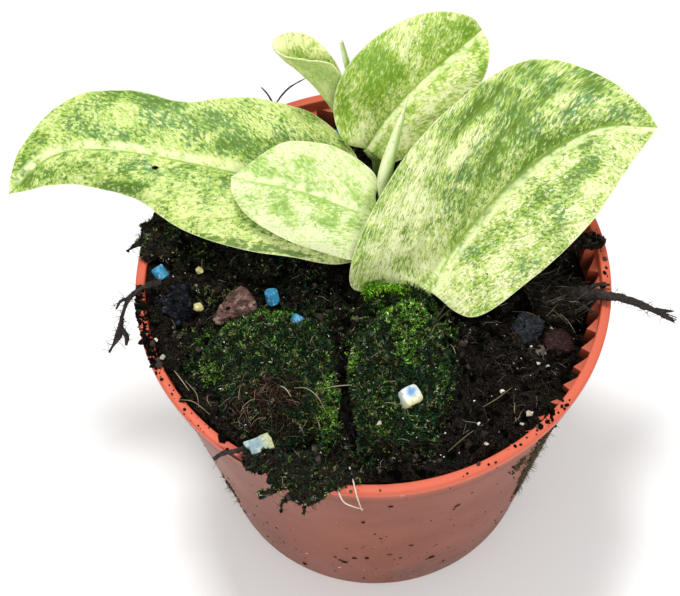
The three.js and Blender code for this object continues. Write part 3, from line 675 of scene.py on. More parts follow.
for name, form in MOUNDS.items():
    angles = np.linspace(0, 2 * np.pi, MOUND_SIDES, endpoint=False)
    loops = []
    for share in np.sin(np.linspace(0.03, np.pi / 2, MOUND_LOOPS)):
        x, y = mound_spots(form, share, angles)
        loops.append(np.stack([x, y, mound_level(form, x, y, np.full(len(x), share))], 1))
    foot = loops[-1].copy()
    foot[:, 2] = MOUND_SEAT
    points, faces = rings((loops + [foot])[::-1])
    bare = [(1 - stay) * blot(points[:, 0], points[:, 1], centre, half) for centre, half, stay in WORN]
    worn = np.max(bare, axis=0) + 0.45 * rough(points, 2.2)
    mound = make(name.replace("moss_mound", "mound_body"), points, faces, loam, crease=80, worn=worn)
    fit(mound, "moss", name)
    places, facings = scattered(points, faces, form["shoots"])
    kept = places[:, 2] > mix_level(places[:, 0], places[:, 1]) - 0.5
    kept &= from_line(CLEFT, *places[:, :2].T) > 1.5
    for centre, half, stay in WORN:
        kept &= rng.random(len(places)) > (1 - stay) * blot(places[:, 0], places[:, 1], centre, half)
    places, facings = places[kept], facings[kept]
    moss(name.replace("mound", "carpet"), places, facings, moss_stains(places))

# Moss between the mounds and round their feet, but not in the cleft
FOOT_SPOTS = 20000
spots = np.stack([rng.uniform(-50, 22, FOOT_SPOTS), rng.uniform(-55, 0, FOOT_SPOTS)], 1)
share = clear_of_mounds(spots)
kept = (share > 0.95) & (share < 1.28 - 0.12 * rng.random(len(spots))) & (from_line(CLEFT, *spots.T) > 2)
for centre, half, stay in WORN:
    kept &= rng.random(len(spots)) > (1 - stay) * blot(*spots.T, centre, half)
clusters = [spots[kept]]
# Cushions on the open mix: centre, half widths, and shoots per square millimetre
CUSHIONS = [
    ((15, -12), (5.5, 8), 3), ((7, -7), (9, 3.5), 3), ((-30, -50), (12, 3), 1.6),
    ((-38.5, -2.4), (6, 2.8), 4),
    ((-38.3, -13.4), (4.5, 2.4), 4), ((-32, 11), (14, 7), 0.9), ((-21, 3.5), (10, 6), 0.9),
    ((-13, -8), (7, 5), 2),
    ((-46, -22), (4, 9), 0.9), ((-5, -52), (20, 3.5), 0.8), ((-48, 14), (6, 6), 1.2),
    ((0, 20), (12, 9), 0.5),
    ((20, 30), (16, 12), 0.3), ((44, -1), (7, 5), 0.8),
]
for centre, half, thick in CUSHIONS:
    count = int(math.pi * half[0] * half[1] * thick)
    angle, out = rng.random(count) * 2 * np.pi, np.sqrt(rng.random(count)) * 1.15
    x, y = centre[0] + half[0] * out * np.cos(angle), centre[1] + half[1] * out * np.sin(angle)
    clusters.append(np.stack([x, y], 1))
spots = np.concatenate(clusters)
spots = spots[np.hypot(*spots.T) < RIB_CREST - 0.5]
spots = spots[clear_of_mounds(spots) > 0.95]
spots = spots[clear_of_pieces(spots) > 2.2]
places = laid(spots)
facings = unit(np.concatenate([rng.normal(size=spots.shape) * 0.35, np.ones((len(spots), 1))], 1))
moss("moss_cushions", places, facings, moss_stains(places), length=1.0)

# A cushion of moss climbs the foot of the right leaf, bright yellow-green along its top, and its
# lower shoots carry painted shade
CLIMBING_COUNT = 520
CLIMBING_FOOT = 93.4


def crest_level(x, top):
    return top - 0.05 * (x - 3) ** 2


x, rise = rng.uniform(-2.5, 13, CLIMBING_COUNT), rng.random(CLIMBING_COUNT) ** 0.8
y = -8.6 + 3.7 * rise + rng.normal(size=CLIMBING_COUNT) * 0.25
places = np.stack([x, y, CLIMBING_FOOT + (crest_level(x, 99.3) - CLIMBING_FOOT) * rise], 1)
facings = unit(rng.normal(size=places.shape) * 0.25 + (0, -0.6, 1))
climbing = stained(["#5f8e14", "#4f7f16", "#76982c", "#3f6c1c"], CLIMBING_COUNT, 0.3)
bright = (rise > 0.6 + 0.15 * rng.random(CLIMBING_COUNT)) & (x < 8 + rng.normal(size=CLIMBING_COUNT))
# Painted shade: the lower shoots are the mound moss at six tenths of its brightness.
climbing = np.where(bright[:, None], climbing, moss_stains(places) * (0.6, 0.6, 0.6, 1))
moss("moss_climbing", places, facings, climbing, length=1.5)
line = np.linspace(-3.5, 13.5, 30)
profile = [(-9.6, 90), (-9.4, 92.5), (-8.2, 93.6), (-6.4, 95.6), (-5.2, 96.6), (-4.6, 96), (-4.6, 90)]
rises = crest_level(line, 98) - 97
loops = [[(x, y, z if z < 91 else z + rise) for y, z in profile] for x, rise in zip(line, rises)]
points, faces = rings(np.array(loops))
fit(make("moss_foot", points, faces, loam, worn=np.zeros(len(points))), "moss")


# The loose top of the mix: crumbs of peat and bark from fine grit to lumps of two millimetres, white
# specks of perlite, and the fine brown fibres and pale straws of old roots that lie over it all.
def skin_of(shape):
    """A finished shape as points and faces."""
    points = np.array([vertex.co[:] for vertex in shape.verts])
    faces = [[vertex.index for vertex in face.verts] for face in shape.faces]
    shape.free()
    return points, faces


def ball(parts):
    """A unit ball of even triangles."""
    shape = bmesh.new()
    bmesh.ops.create_icosphere(shape, subdivisions=parts, radius=1)
    points, faces = skin_of(shape)
    return points, np.array(faces)


def crumbs(name, places, sizes, stains, slot, finish, uneven=0.25):
    """Broken lumps, each with its own size and colour, half sunk where they lie."""
    shape = ball(1)
    scales = sizes[:, None] * rng.uniform(0.6, 1.25, (len(places), 3))
    points, faces = strewn(shape, places, scales, aimed(rng.normal(size=places.shape)))
    centres = np.repeat(places, len(shape[0]), axis=0)
    points = centres + (points - centres) * rng.uniform(1 - uneven, 1 + uneven, (len(points), 1))
    shades = np.repeat(stains, len(shape[0]), axis=0)
    fit(make(name, points, faces, finish, crease=25, stain=shades), slot)


def tubes(lines, radii, sides=3, across=None):
    """Closed round strands along rows of points, with a radius at each point."""
    ways = np.gradient(lines, axis=1)
    ways = unit(ways)
    across = rng.normal(size=(len(lines), 1, 3)) if across is None else np.array(across, float)
    first = np.cross(ways, np.broadcast_to(across, lines.shape))
    first = unit(first)
    second = np.cross(ways, first)
    angle = np.arange(sides) * 2 * np.pi / sides
    spokes = first[:, :, None] * np.cos(angle)[:, None] + second[:, :, None] * np.sin(angle)[:, None]
    points = lines[:, :, None] + spokes * radii[:, :, None, None]
    count, steps = lines.shape[:2]
    start = np.arange(count)[:, None, None] * steps * sides
    row = start + np.arange(steps - 1)[None, :, None] * sides
    here, after = row + np.arange(sides), row + (np.arange(sides) + 1) % sides
    walls = np.stack([here, after, after + sides, here + sides], -1).reshape(-1, 4).tolist()
    ends = (start[:, 0] + np.arange(sides)).tolist()
    ends += (start[:, 0] + (steps - 1) * sides + np.arange(sides)[::-1]).tolist()
    return points.reshape(-1, 3), walls + ends


def lying(starts, lengths, bend, lift):
    """Rows of points for strands that lie on the ground, each one slightly curved and raised."""
    steps = np.linspace(0, 1, 6)
    angle = rng.random(len(starts)) * 2 * np.pi
    turn = angle[:, None] + bend * rng.normal(size=(len(starts), 1)) * (steps[:-1] + 0.1)
    hops = lengths[:, None] / 5 * np.stack([np.cos(turn), np.sin(turn)])
    x = starts[:, :1] + np.concatenate([np.zeros((len(starts), 1)), np.cumsum(hops[0], 1)], 1)
    y = starts[:, 1:] + np.concatenate([np.zeros((len(starts), 1)), np.cumsum(hops[1], 1)], 1)
    far = np.maximum(np.hypot(x, y) / (RIB_CREST - 0.5), 1)
    x, y = x / far, y / far
    over = lift * rng.random((len(starts), 1)) * np.sin(np.pi * steps)
    return np.stack([x, y, ground(x.ravel(), y.ravel()).reshape(x.shape) + 0.12 + over], -1)


def spread_spots(count):
    """Random spots all over the mix."""
    angle, out = rng.random(count) * 2 * np.pi, (RIB_CREST - 0.8) * np.sqrt(rng.random(count))
    return np.stack([out * np.cos(angle), out * np.sin(angle)], 1)


crumb = Finish("crumbs", None, roughness=0.6, specular=0.02)
crumb.mottle("#120e0b", 0.7, 0.5, 0.72, 0.5, detail=4)
crumb.grain(crumb.noise(0.25), 0.12)

straw = Finish("straw and fibre", None, roughness=0.6, specular=0.2)
straw.mottle("#2a1f16", 0.8, 0.52, 0.7, 0.4, stretch=(1, 1, 0.5))

CRUMB_COUNT = 4700
SKIRT_COUNT = 420  # crumbs round each mound
CHANCE_SPECKS = 340
FIBRE_COUNT = 1400
spots = spread_spots(CRUMB_COUNT)
spots = spots[(clear_of_mounds(spots) > 1.02) & (clear_of_pieces(spots) > 1.8)]
sizes = np.minimum(0.34 * np.exp(rng.normal(size=len(spots)) * 0.6), 1.1)
places = laid(spots, 0.25 * sizes)
peat_codes = ["#040303", "#060504", "#080605", "#0a0806", "#0d0b09", "#110e0c", "#15110e", "#1b1613"]
peat_codes += ["#0c0f08", "#0e0d0e", "#100d0b", "#241e18", "#443d36"]
stains = stained(peat_codes, len(places), 0.5)
# Painted shade: crumbs right of x = 12 mm, where the mix lies lower under the right leaf, are darker.
stains[:, :3] *= np.where(places[:, :1] > 12, 0.6, 1)  # the mix is darker at the right
crumbs("peat_crumbs", places, sizes, stains, "potting_mix", crumb)

skirt_places = []
for form in MOUNDS.values():
    angle, out = rng.random(SKIRT_COUNT) * 2 * np.pi, rng.uniform(0.92, 1.2, SKIRT_COUNT)
    skirt_places.append(np.stack(mound_spots(form, out, angle), 1))
spots = np.concatenate(skirt_places)
spots = spots[np.hypot(*spots.T) < RIM_INNER_RADIUS - 2]
places = laid(spots)
sizes = 0.5 * np.exp(rng.normal(size=len(places)) * 0.45)
crumbs("mound_skirts", places, sizes, stained(peat_codes, len(places)), "potting_mix", crumb)

# White specks: place and size. The rest are strewn by chance.
SPECKS = [
    (-55.4, 2, 0.35), (-49.8, 12.2, 0.45), (-44.7, 0.8, 0.45), (-52.7, -20.7, 0.6), (-54.5, -15.5, 0.5),
    (35.3, -11.6, 0.5), (44.7, -12.4, 0.45), (32.2, -15.5, 0.5), (39.8, -24.6, 0.5), (41.9, -25.8, 0.55),
    (38.5, -19.3, 0.35), (30, -32.8, 0.8), (36.1, -39.2, 0.75), (34.1, -41.8, 0.6), (23.5, -41.7, 0.5),
    (15.3, -44, 0.45), (13.5, -45.2, 0.5), (-0.5, -43.6, 0.6), (11.5, -46.2, 0.4), (24.9, -47.7, 0.5),
]
specks = np.array(SPECKS)
chance = spread_spots(CHANCE_SPECKS)
chance = np.concatenate([chance, rng.uniform(0.08, 0.24, (CHANCE_SPECKS, 1))], 1)
specks = np.concatenate([specks, chance])
places = laid(specks[:, :2], 0.4 * specks[:, 2])
stains = stained(["#d9d4c6", "#c3bba8", "#e6e4da", "#a89a84", "#cbb8a6"], len(places), 0.12)
crumbs("perlite_specks", places, specks[:, 2], stains, "pale_stone", crumb, 0.5)

fibre_codes = ["#120e0b", "#1c1611", "#2a2119", "#3a2f26", "#16120e", "#1e1c12"]
fibre_codes += ["#4a3e32", "#6c6254", "#a09684"]
worn_codes = ["#1e120c", "#2c1d15", "#412d20", "#6a5644"]
# Where fibres lie thicker: centre, spread and count
HEAPS = [((-25, -34.8), (5.6, 4), 230), ((36, -24), (10, 11), 240), ((-39, -39), (5.5, 5.5), 150)]
heaps = [np.array(centre) + rng.normal(size=(count, 2)) * spread for centre, spread, count in HEAPS]
worn_spots, right_spots, left_spots = heaps
spots = np.concatenate([spread_spots(FIBRE_COUNT), right_spots, left_spots, worn_spots])
left_codes = ["#4a3e32", "#6c6254", "#8d7f68"]
stains = [stained(fibre_codes, FIBRE_COUNT + len(right_spots)), stained(left_codes, len(left_spots))]
stains = np.concatenate([*stains, stained(worn_codes, len(worn_spots))])
# Painted shade: fibres at the right are darker too.
stains[:, :3] *= np.where(spots[:, :1] > 12, 0.7, 1)
kept = np.hypot(*spots.T) < RIB_CREST - 1
spots, stains = spots[kept], stains[kept]
lines = lying(spots, rng.uniform(1.5, 4.8, len(spots)), 0.75, 0.8)
widths = rng.uniform(0.025, 0.065, (len(spots), 1)) * np.array([0.5, 1, 1, 1, 0.9, 0.4])
points, faces = tubes(lines, widths)
stains = np.repeat(stains, len(points) // len(spots), axis=0)
fit(make("peat_fibres", points, faces, straw, stain=stains), "fibre")

# Bits that spilled on to the rim: angle from +X, spread and count
SPILLS = [
    (-176, 2.6, 90), (-168, 3.5, 150), (-160, 3, 110), (-142, 8, 22), (-112, 11, 36), (-60, 8, 16),
    (-46, 5, 20), (152, 9, 50), (3, 6, 12),
]
angles = np.radians(np.concatenate([rng.normal(angle, spread, count) for angle, spread, count in SPILLS]))
out = rng.uniform(RIM_INNER_RADIUS + 0.1, RIM_RADIUS - 0.1, len(angles))
sizes = np.minimum(0.3 * np.exp(rng.normal(size=len(angles)) * 0.6), 1.2)
places = around(out, angles, POT_HEIGHT + 0.25 * sizes)
crumbs("rim_spill", places, sizes, stained(peat_codes, len(places), 0.4), "potting_mix", crumb)


# Four clumps of wet fibre and moss were pushed over the rim when the plant was potted. Each is a
# knot of soft lumps, ragged with crumbs, hair-thin fibres and moss, and some hold a stick or a
# dangling rootlet. The front one hangs down over the outside of the pot.
def smooth_path(points, shares):
    """Places along the smooth curve through some points, at shares of its length."""
    p = np.array(points, float)
    p = np.vstack([2 * p[0] - p[1], p, 2 * p[-1] - p[-2]])
    t = np.linspace(0, 1, 60, endpoint=False)[:, None]
    pieces = []
    for x0, x1, x2, x3 in zip(p, p[1:], p[2:], p[3:]):
        d0, d1, d2 = [np.linalg.norm(b - a) ** 0.5 for a, b in ((x0, x1), (x1, x2), (x2, x3))]
        leave = ((x1 - x0) / d0 - (x2 - x0) / (d0 + d1) + (x2 - x1) / d1) * d1
        arrive = ((x2 - x1) / d1 - (x3 - x1) / (d1 + d2) + (x3 - x2) / d2) * d1
        curve = x1 * (2 * t**3 - 3 * t**2 + 1) + leave * (t**3 - 2 * t**2 + t)
        pieces.append(curve + x2 * (3 * t**2 - 2 * t**3) + arrive * (t**3 - t**2))
    line = np.vstack(pieces + [p[-2:-1]])
    run = np.concatenate([[0], np.cumsum(np.linalg.norm(np.diff(line, axis=0), axis=1))])
    return np.stack([np.interp(np.asarray(shares) * run[-1], run, line[:, k]) for k in range(3)], -1)


def strand(path, radii, sides=12, steps=40, knobs=0.12):
    """One uneven round strand along a given path."""
    shares = np.linspace(0, 1, steps + 1)
    line = smooth_path(path, shares)
    thick = np.interp(shares, np.linspace(0, 1, len(radii)), radii)
    points, faces = tubes(line[None], thick[None], sides, across=(0.3, 0.2, 1))
    middle = np.repeat(line, sides, axis=0)
    uneven = 1 + knobs * (rough(points, 1.7) + 0.8 * rough(points, 0.7))
    return middle + (points - middle) * uneven[:, None], faces


def lump(centre, radii, turn=0, parts=4, cuts=0, relief=0.5, square=1, taper=0):
    """A lump with three radii. Flat cuts make it look broken, and relief makes it knobbly. A share
    below 1 makes it more like a block, and taper makes one end thinner."""
    points, faces = ball(parts)
    points = np.sign(points) * abs(points) ** square
    for _ in range(cuts):
        way = rng.normal(size=3)
        way /= np.linalg.norm(way)
        points = points - np.maximum(points @ way - rng.uniform(0.55, 0.85), 0)[:, None] * way
    points = points * np.stack([np.ones(len(points)), *[1 + taper * points[:, 0]] * 2], 1)
    ways = unit(points)
    points = points * radii
    c, s = math.cos(turn), math.sin(turn)
    turned = []
    for a in (points, ways):
        turned.append(np.stack([c * a[:, 0] - s * a[:, 1], s * a[:, 0] + c * a[:, 1], a[:, 2]], 1))
    points, ways = turned[0] + centre, turned[1]
    bumps = rough(points, 2.6) + 0.6 * rough(points, 1.1) + 0.35 * rough(points, 0.5)
    return points + ways * (relief * bumps)[:, None], faces.tolist()


def joined(parts):
    """Several skins as the points and faces of one piece."""
    points, faces, count = [], [], 0
    for more_points, more_faces in parts:
        points.append(more_points)
        faces += [[corner + count for corner in face] for face in more_faces]
        count += len(more_points)
    return np.concatenate(points), faces


def bristles(places, facings, length, width, bend=0.7, stray=0.9):
    """Short hair-thin strands that stand out from a skin."""
    steps = np.linspace(0, 1, 5)
    ways = unit(facings + rng.normal(size=places.shape) * stray)
    lengths = length * rng.uniform(0.4, 1.3, (len(places), 1, 1))
    curl = rng.normal(size=(len(places), 1, 3)) * bend
    lines = places[:, None] + lengths * (ways[:, None] * steps[:, None] + curl * steps[:, None] ** 2 * 0.6)
    radii = width * rng.uniform(0.6, 1.2, (len(places), 1)) * np.array([1, 1, 0.9, 0.7, 0.35])
    return tubes(lines, radii)


wet_fibre = Finish("wet fibre", "#0c0907", roughness=0.8, specular=0.08)
wet_fibre.mottle("#211a14", 1.3, 0.45, 0.68, 0.85, detail=5)
wet_fibre.mottle("#3f3324", 0.5, 0.6, 0.75, 0.5, detail=3, shift=7)
wet_fibre.mottle("#243016", 4, 0.55, 0.75, 0.5, shift=3)
wet_fibre.hairs((0.5, 1.7, 2.7), "#5a4c3c", top=0.5)
wet_fibre.grain(wet_fibre.noise(0.3, detail=4), 0.2)

CLUMPS = {
    "clump_front": {
        "lumps": [
            ((-28, -50, 96.4), (5.4, 4.2, 2.6), 0.3), ((-20.5, -54, 96.6), (5.6, 4.4, 2.9), 0.2),
            ((-13, -56, 96), (4.8, 3.6, 2.4), 0), ((-18, -59, 95.2), (4.6, 2.8, 2.6), 0.2),
            ((-24, -54, 96), (4, 3, 2), 0.5), ((-8, -55.5, 95.4), (3.4, 2, 1.3), 0.1),
        ],
        "strands": [
            ([(-20, -56, 97), (-24.5, -58.5, 97.2), (-29.5, -60, 96.4)], (1, 0.9, 0.8)),
            ([(-22, -59, 95), (-24.2, -61, 94), (-24.4, -61.6, 91)], (0.5, 0.35, 0.2)),
            ([(-18, -60, 95), (-19, -62.2, 93.5), (-19.2, -62.6, 90.5)], (0.5, 0.4, 0.2)),
        ],
        "moss": 1100,
    },
    "clump_upper_left": {
        "lumps": [
            ((-54, 14, 96), (4.8, 6.2, 2.8), 0.25), ((-51, 18, 95.5), (3.4, 3.6, 2.2), 0),
            ((-56.5, 9, 96), (2.4, 2, 1.6), 0),
        ],
        "strands": [
            ([(-55, 12, 97), (-59, 11.5, 97.4), (-62, 10, 96.6)], (1.3, 0.8, 0.2)),
            ([(-56, 16, 97), (-57.5, 17, 97.8), (-58.8, 16.8, 97.4)], (0.8, 0.7, 0.4)),
        ],
        "moss": 420,
    },
    "clump_upper_right": {
        "lumps": [((54.8, 7, 96.3), (4.8, 2.2, 1.6), -0.1), ((51, 8.5, 95.6), (3, 2.2, 1.6), 0.2)],
        "strands": [([(52, 6, 96), (49, 4, 94.5), (47.5, 2.6, 91)], (0.5, 0.4, 0.25))],
        "moss": 0,
    },
    "clump_right": {
        "lumps": [
            ((46.5, -4.5, 88.5), (8, 5.8, 4.2), -0.35), ((42, -2, 89.2), (4, 3.4, 3), 0.2),
            ((50.5, -7.5, 89.5), (3.6, 3.4, 3.2), 0), ((45, -8.5, 87.6), (4.5, 2.8, 2.2), -0.2),
        ],
        "strands": [],
        "moss": 60,
    },
}
for name, form in CLUMPS.items():
    parts = [lump(*args, relief=0.55) for args in form["lumps"]]
    parts += [strand(path, radii, steps=16, sides=8, knobs=0.2) for path, radii in form["strands"]]
    points, faces = joined(parts)
    fit(make(name.replace("clump", "tuft"), points, faces, wet_fibre, crease=80), "fibre", name)
    area = sum(math.pi * radii[0] * radii[1] for _, radii, _ in form["lumps"])
    places, facings = scattered(points, faces, int(area * (6 if name == "clump_upper_right" else 2.6)))
    sizes = 0.3 * np.exp(rng.normal(size=len(places)) * 0.45)
    crumbs(name + "_crumbs", places, sizes, stained(peat_codes, len(places)), "fibre", crumb)
    if name == "clump_right":
        places, facings = scattered(points, faces, int(area * 4.5))
        comb = unit(np.array([54, -8.2, 95.5]) - places)
        points_out, faces_out = bristles(places, 0.4 * facings + comb, 4.2, 0.075, 0.25, 0.3)
    else:
        places, facings = scattered(points, faces, int(area * 2.4))
        points_out, faces_out = bristles(places, facings, 1.5, 0.06)
    stains = np.repeat(stained(fibre_codes, len(places), 0.35), 15, axis=0) * (0.6, 0.6, 0.6, 1)
    fit(make(name + "_fibres", points_out, faces_out, straw, stain=stains), "fibre")
    if form["moss"]:
        places, facings = scattered(points, faces, form["moss"])
        kept = facings[:, 2] > 0.1
        moss(name + "_moss", places[kept], facings[kept], moss_stains(places[kept]), length=1.0)


# Chips lie half sunk in the mix: two of red-brown pine bark, broken along its layers, a lump of
# charcoal, a slate-coloured piece of old bark and a small pale stone. Cut faces catch the light.
bark = Finish("pine bark", "#3c2620", roughness=0.8, specular=0.3)
layers = bark.noise(0.9, detail=5, stretch=(0.5, 1, 1), rough=0.65)
bark.paint(bark.step(layers, 0.42, 0.62, top=0.85), "#74544a")
bark.mottle("#aa8b7e", 1.6, 0.5, 0.66, 0.65, detail=5, shift=1)
bark.mottle("#21110e", 0.5, 0.55, 0.66, 0.75, detail=3, shift=6)
bark.mottle("#2c3a18", 2.4, 0.56, 0.66, 0.7, detail=4, shift=12)
bark.grain(layers, 0.5)

dark_bark = Finish("dark bark", "#1d0f0e", roughness=0.7, specular=0.15)
dark_bark.mottle("#39201d", 0.9, 0.45, 0.65, 0.8, detail=4)
dark_bark.mottle("#6d5048", 0.5, 0.6, 0.72, 0.5, shift=3)
dark_bark.grain(dark_bark.noise(0.6, detail=4), 0.25)

coal = Finish("charcoal", "#08090b", roughness=0.6, specular=0.15)
coal.mottle("#1d1f26", 1.4, 0.5, 0.7, 0.8, detail=4)
coal.mottle("#4c4e58", 0.4, 0.58, 0.68, 0.7, shift=2)
coal.grain(coal.noise(0.7, detail=5, rough=0.7), 0.6)

slate = Finish("old grey bark", "#101216", roughness=0.6, specular=0.15)
slate.mottle("#2f3139", 1.5, 0.44, 0.66, 0.8, detail=4)
slate.mottle("#666872", 0.5, 0.58, 0.7, 0.6, shift=2)
slate.grain(slate.noise(0.8, detail=5, rough=0.7), 0.5)

stone = Finish("pale stone", "#3a322d", roughness=0.85, specular=0.15)
stone.mottle("#8a7d74", 0.7, 0.42, 0.66, 0.8, detail=4)
stone.grain(stone.noise(0.3), 0.1)

# Centre, radii, turn, flat cuts, squareness, taper, relief, slot and finish
CHIPS = {
    "bark_red_left": ((-35.4, -8, 95.3), (6, 3.2, 2.6), 0.55, 0, 0.62, 0.58, 0.55, "bark", bark),
    "bark_red_right": ((45, -17.5, 87.2), (4.1, 4.6, 2.8), 0.4, 8, 0.8, 0, 0.4, "bark", dark_bark),
    "charcoal_left": ((-50.4, -4.6, 93.3), (4.6, 5.3, 3.5), 0.3, 10, 0.9, 0, 1.3, "charcoal", coal),
    "bark_slate_right": ((38.4, -14.2, 88.9), (4.2, 4.6, 2.9), -0.5, 8, 0.8, 0, 0.45, "charcoal", slate),
    "lump_pale_right": ((41, -20.5, 88.8), (2, 1.8, 1.6), 0.2, 5, 1, 0, 0.2, "pale_stone", stone),
}
for name, (centre, radii, turn, cuts, square, taper, relief, slot, finish) in CHIPS.items():
    points, faces = lump(centre, radii, turn, parts=5, cuts=cuts, relief=relief, square=square, taper=taper)
    fit(make(name + "_chip", points, faces, finish, crease=60), slot, name)
    count = 420 if finish is coal else 170
    places, facings = scattered(points, faces, count)
    low = (places[:, 2] < centre[2] + 0.6) | (rng.random(count) < (0.8 if finish is coal else 0.12))
    sizes = (0.42 if finish is coal else 0.28) * np.exp(rng.normal(size=low.sum()) * 0.4)
    codes = ["#0a0b0e", "#14161b", "#1e2128", "#2e3139"] if finish is coal else peat_codes
    crumbs(name + "_crumbs", places[low], sizes, stained(codes, low.sum()), "potting_mix", crumb)


# Slow-release fertiliser: four blue pressed drums, one white block with a blue stain, a thin white
# flake, and two yellowish grains. They are coated, slightly worn at the edges, and lie half sunk.
GRANULE = 3.8


def spun(turn):
    """A turn about X, then Y, then Z."""
    (cx, sx), (cy, sy), (cz, sz) = [(math.cos(angle), math.sin(angle)) for angle in turn]
    about_x = np.array([[1, 0, 0], [0, cx, -sx], [0, sx, cx]])
    about_y = np.array([[cy, 0, sy], [0, 1, 0], [-sy, 0, cy]])
    about_z = np.array([[cz, -sz, 0], [sz, cz, 0], [0, 0, 1]])
    return about_z @ about_y @ about_x


DRUM_SIDES = 32


def drum(radius, height):
    """A drum on the Y axis with worn edges."""
    profile = [(0.75, -1), (0.9, -0.97), (0.98, -0.86), (1, -0.7), (1, -0.2)]
    profile += [(1, 0.3), (1, 0.7), (0.97, 0.86), (0.9, 0.97), (0.75, 1)]
    angle = np.arange(DRUM_SIDES) * 2 * np.pi / DRUM_SIDES
    loops = []
    for share, level in profile:
        r, y = radius * share, height / 2 * level
        loops.append(np.stack([r * np.cos(angle), np.full(DRUM_SIDES, y), -r * np.sin(angle)], 1))
    return rings(loops[::-1])


def block(size):
    """A block with worn edges, finely divided."""
    shape = bmesh.new()
    bmesh.ops.create_cube(shape, size=1)
    bmesh.ops.scale(shape, verts=shape.verts, vec=size)
    bevel = 0.22 * min(size)
    bmesh.ops.bevel(shape, geom=shape.edges[:], offset=bevel, segments=4, affect="EDGES", profile=0.5)
    long_edges = [edge for edge in shape.edges if edge.calc_length() > 0.5]
    bmesh.ops.subdivide_edges(shape, edges=long_edges, cuts=3, use_grid_fill=True)
    return skin_of(shape)


blue = Finish("blue coating", "#2c7ba2", roughness=0.4, specular=0.4)
blue.mottle("#4fb2d4", 1.4, 0.45, 0.7, 0.7, detail=4)
# Painted highlight: pale streaks on the blue coating.
blue.mottle("#b4dbe6", 0.9, 0.58, 0.68, 0.8, detail=4, shift=4, stretch=(1, 0.4, 1))
blue.mottle("#1c4560", 0.9, 0.58, 0.68, 0.7, detail=4, shift=8)
blue.grain(blue.noise(0.5), 0.08)

chalk = Finish("white coating", "#dfe3dc", roughness=0.5, specular=0.4)
chalk.paint(chalk.value("blue"), "#2f7fc0")
chalk.paint(chalk.value("yellow"), "#d6cf96")
chalk.mottle("#8d948c", 0.8, 0.54, 0.7, 0.6, detail=4)
chalk.grain(chalk.noise(0.5), 0.08)

weathered = Finish("weathered coating", "#7f979f", roughness=0.6, specular=0.3)
weathered.mottle("#b9c6bc", 1.3, 0.44, 0.62, 0.85, detail=4)
weathered.paint(weathered.value("yellow"), "#b0b27a")
weathered.mottle("#5c7078", 0.6, 0.54, 0.68, 0.7, detail=4, shift=8)
weathered.grain(weathered.noise(0.5), 0.15)

sulphur = Finish("pale yellow grain", "#b3ad70", roughness=0.75, specular=0.3)
sulphur.mottle("#e8e4b0", 0.7, 0.45, 0.7, 0.7, detail=4)
sulphur.mottle("#8c8a52", 0.5, 0.62, 0.75, 0.5, shift=5)
sulphur.grain(sulphur.noise(0.3), 0.1)

DRUMS = {
    "granule_blue_a": ((-53.8, 4.4, 94.3), (0.5, 0.3, 0.8)),
    "granule_blue_b": ((-25.5, -4, 93.9), (1.1, 0.2, 0.7)),
    "granule_blue_c": ((-19.6, -12.2, 94.6), (0.3, 0.8, -0.4)),
    "granule_blue_d": ((-8, 50.5, 86.7), (0.6, 0.1, 0.4)),
}
for name, (place, turn) in DRUMS.items():
    points, faces = drum(0.46 * GRANULE, 0.94 * GRANULE)
    points = points * (1 + 0.05 * rough(points + np.array(place), 1.6))[:, None]
    fit(make(name + "_drum", points @ spun(turn).T + place, faces, blue, crease=50), "blue_granule", name)

points, faces = block((4.8, 4.6, 4.4))
blue_share = 1.5 - 0.85 * np.hypot(points[:, 0], points[:, 1] - 0.5) + 0.6 * rough(points, 0.9)
blue_share = np.clip(blue_share, 0, 0.85) * (points[:, 2] > 1.5)
yellow_share = np.clip(-0.15 - points[:, 1] / 1.9 + 0.4 * rough(points, 1), 0, 0.9)
points = points * (1 + 0.06 * rough(points, 1.5))[:, None]
points = points @ spun((0.25, 0.2, 0.5)).T + (7.2, -37, 99.2)
white_block = make("white_block", points, faces, chalk, crease=50, blue=blue_share, yellow=yellow_share)
fit(white_block, "white_granule", "granule_white")

points, faces = block((6, 3.8, 1.5))
yellow_share = np.clip(0.32 * points[:, 0] + 0.1 + 0.4 * rough(points, 1.2), 0, 0.9)
worn_away = [0.8 * rough(points, 1.4), 0.7 * rough(points + 9, 1.4), 0.7 * rough(points + 4, 1.3)]
points = points + np.stack(worn_away, 1)
points = points @ spun((0.2, -0.1, 0.35)).T + (-28.8, -47.8, 98.6)
white_flake = make("white_flake", points, faces, weathered, crease=50, yellow=yellow_share)
fit(white_flake, "white_granule", "flake_white")

for name, place in (("grain_pale_a", (-44, 4.5, 94.3)), ("grain_pale_b", (-44, -6.3, 94.3))):
    points, faces = lump(place, (1.3, 1.05, 1.0), parts=4, cuts=6, relief=0.4)
    fit(make(name + "_grain", points, faces, sulphur, crease=60), "pale_grain", name)


# Loose roots: a thick dark one leaves the fibre clump, crosses the rim and ends forked in the air,
# another hangs over the rim at the left, and thin ones lie over the rim at the back and the front.
# All are dry, tough strands with a few side hairs, held by the mix at their lower ends.
dry_root = Finish("dry root", "#171311", roughness=0.7, specular=0.3)
dry_root.mottle("#322a27", 1.2, 0.45, 0.68, 0.8, detail=5)
dry_root.mottle("#6a5a4e", 0.4, 0.6, 0.74, 0.5, shift=3)
dry_root.hairs((0.2, 1.3), "#5e5248", top=0.5)
dry_root.grain(dry_root.noise(0.5, detail=4, stretch=(0.4, 1, 1)), 0.35)

pale_root = Finish("pale rootlet", "#d2c3b0", roughness=0.6, specular=0.35)
pale_root.mottle("#a3866d", 1.5, 0.5, 0.75, 0.5)
pale_root.grain(pale_root.noise(0.4), 0.06)

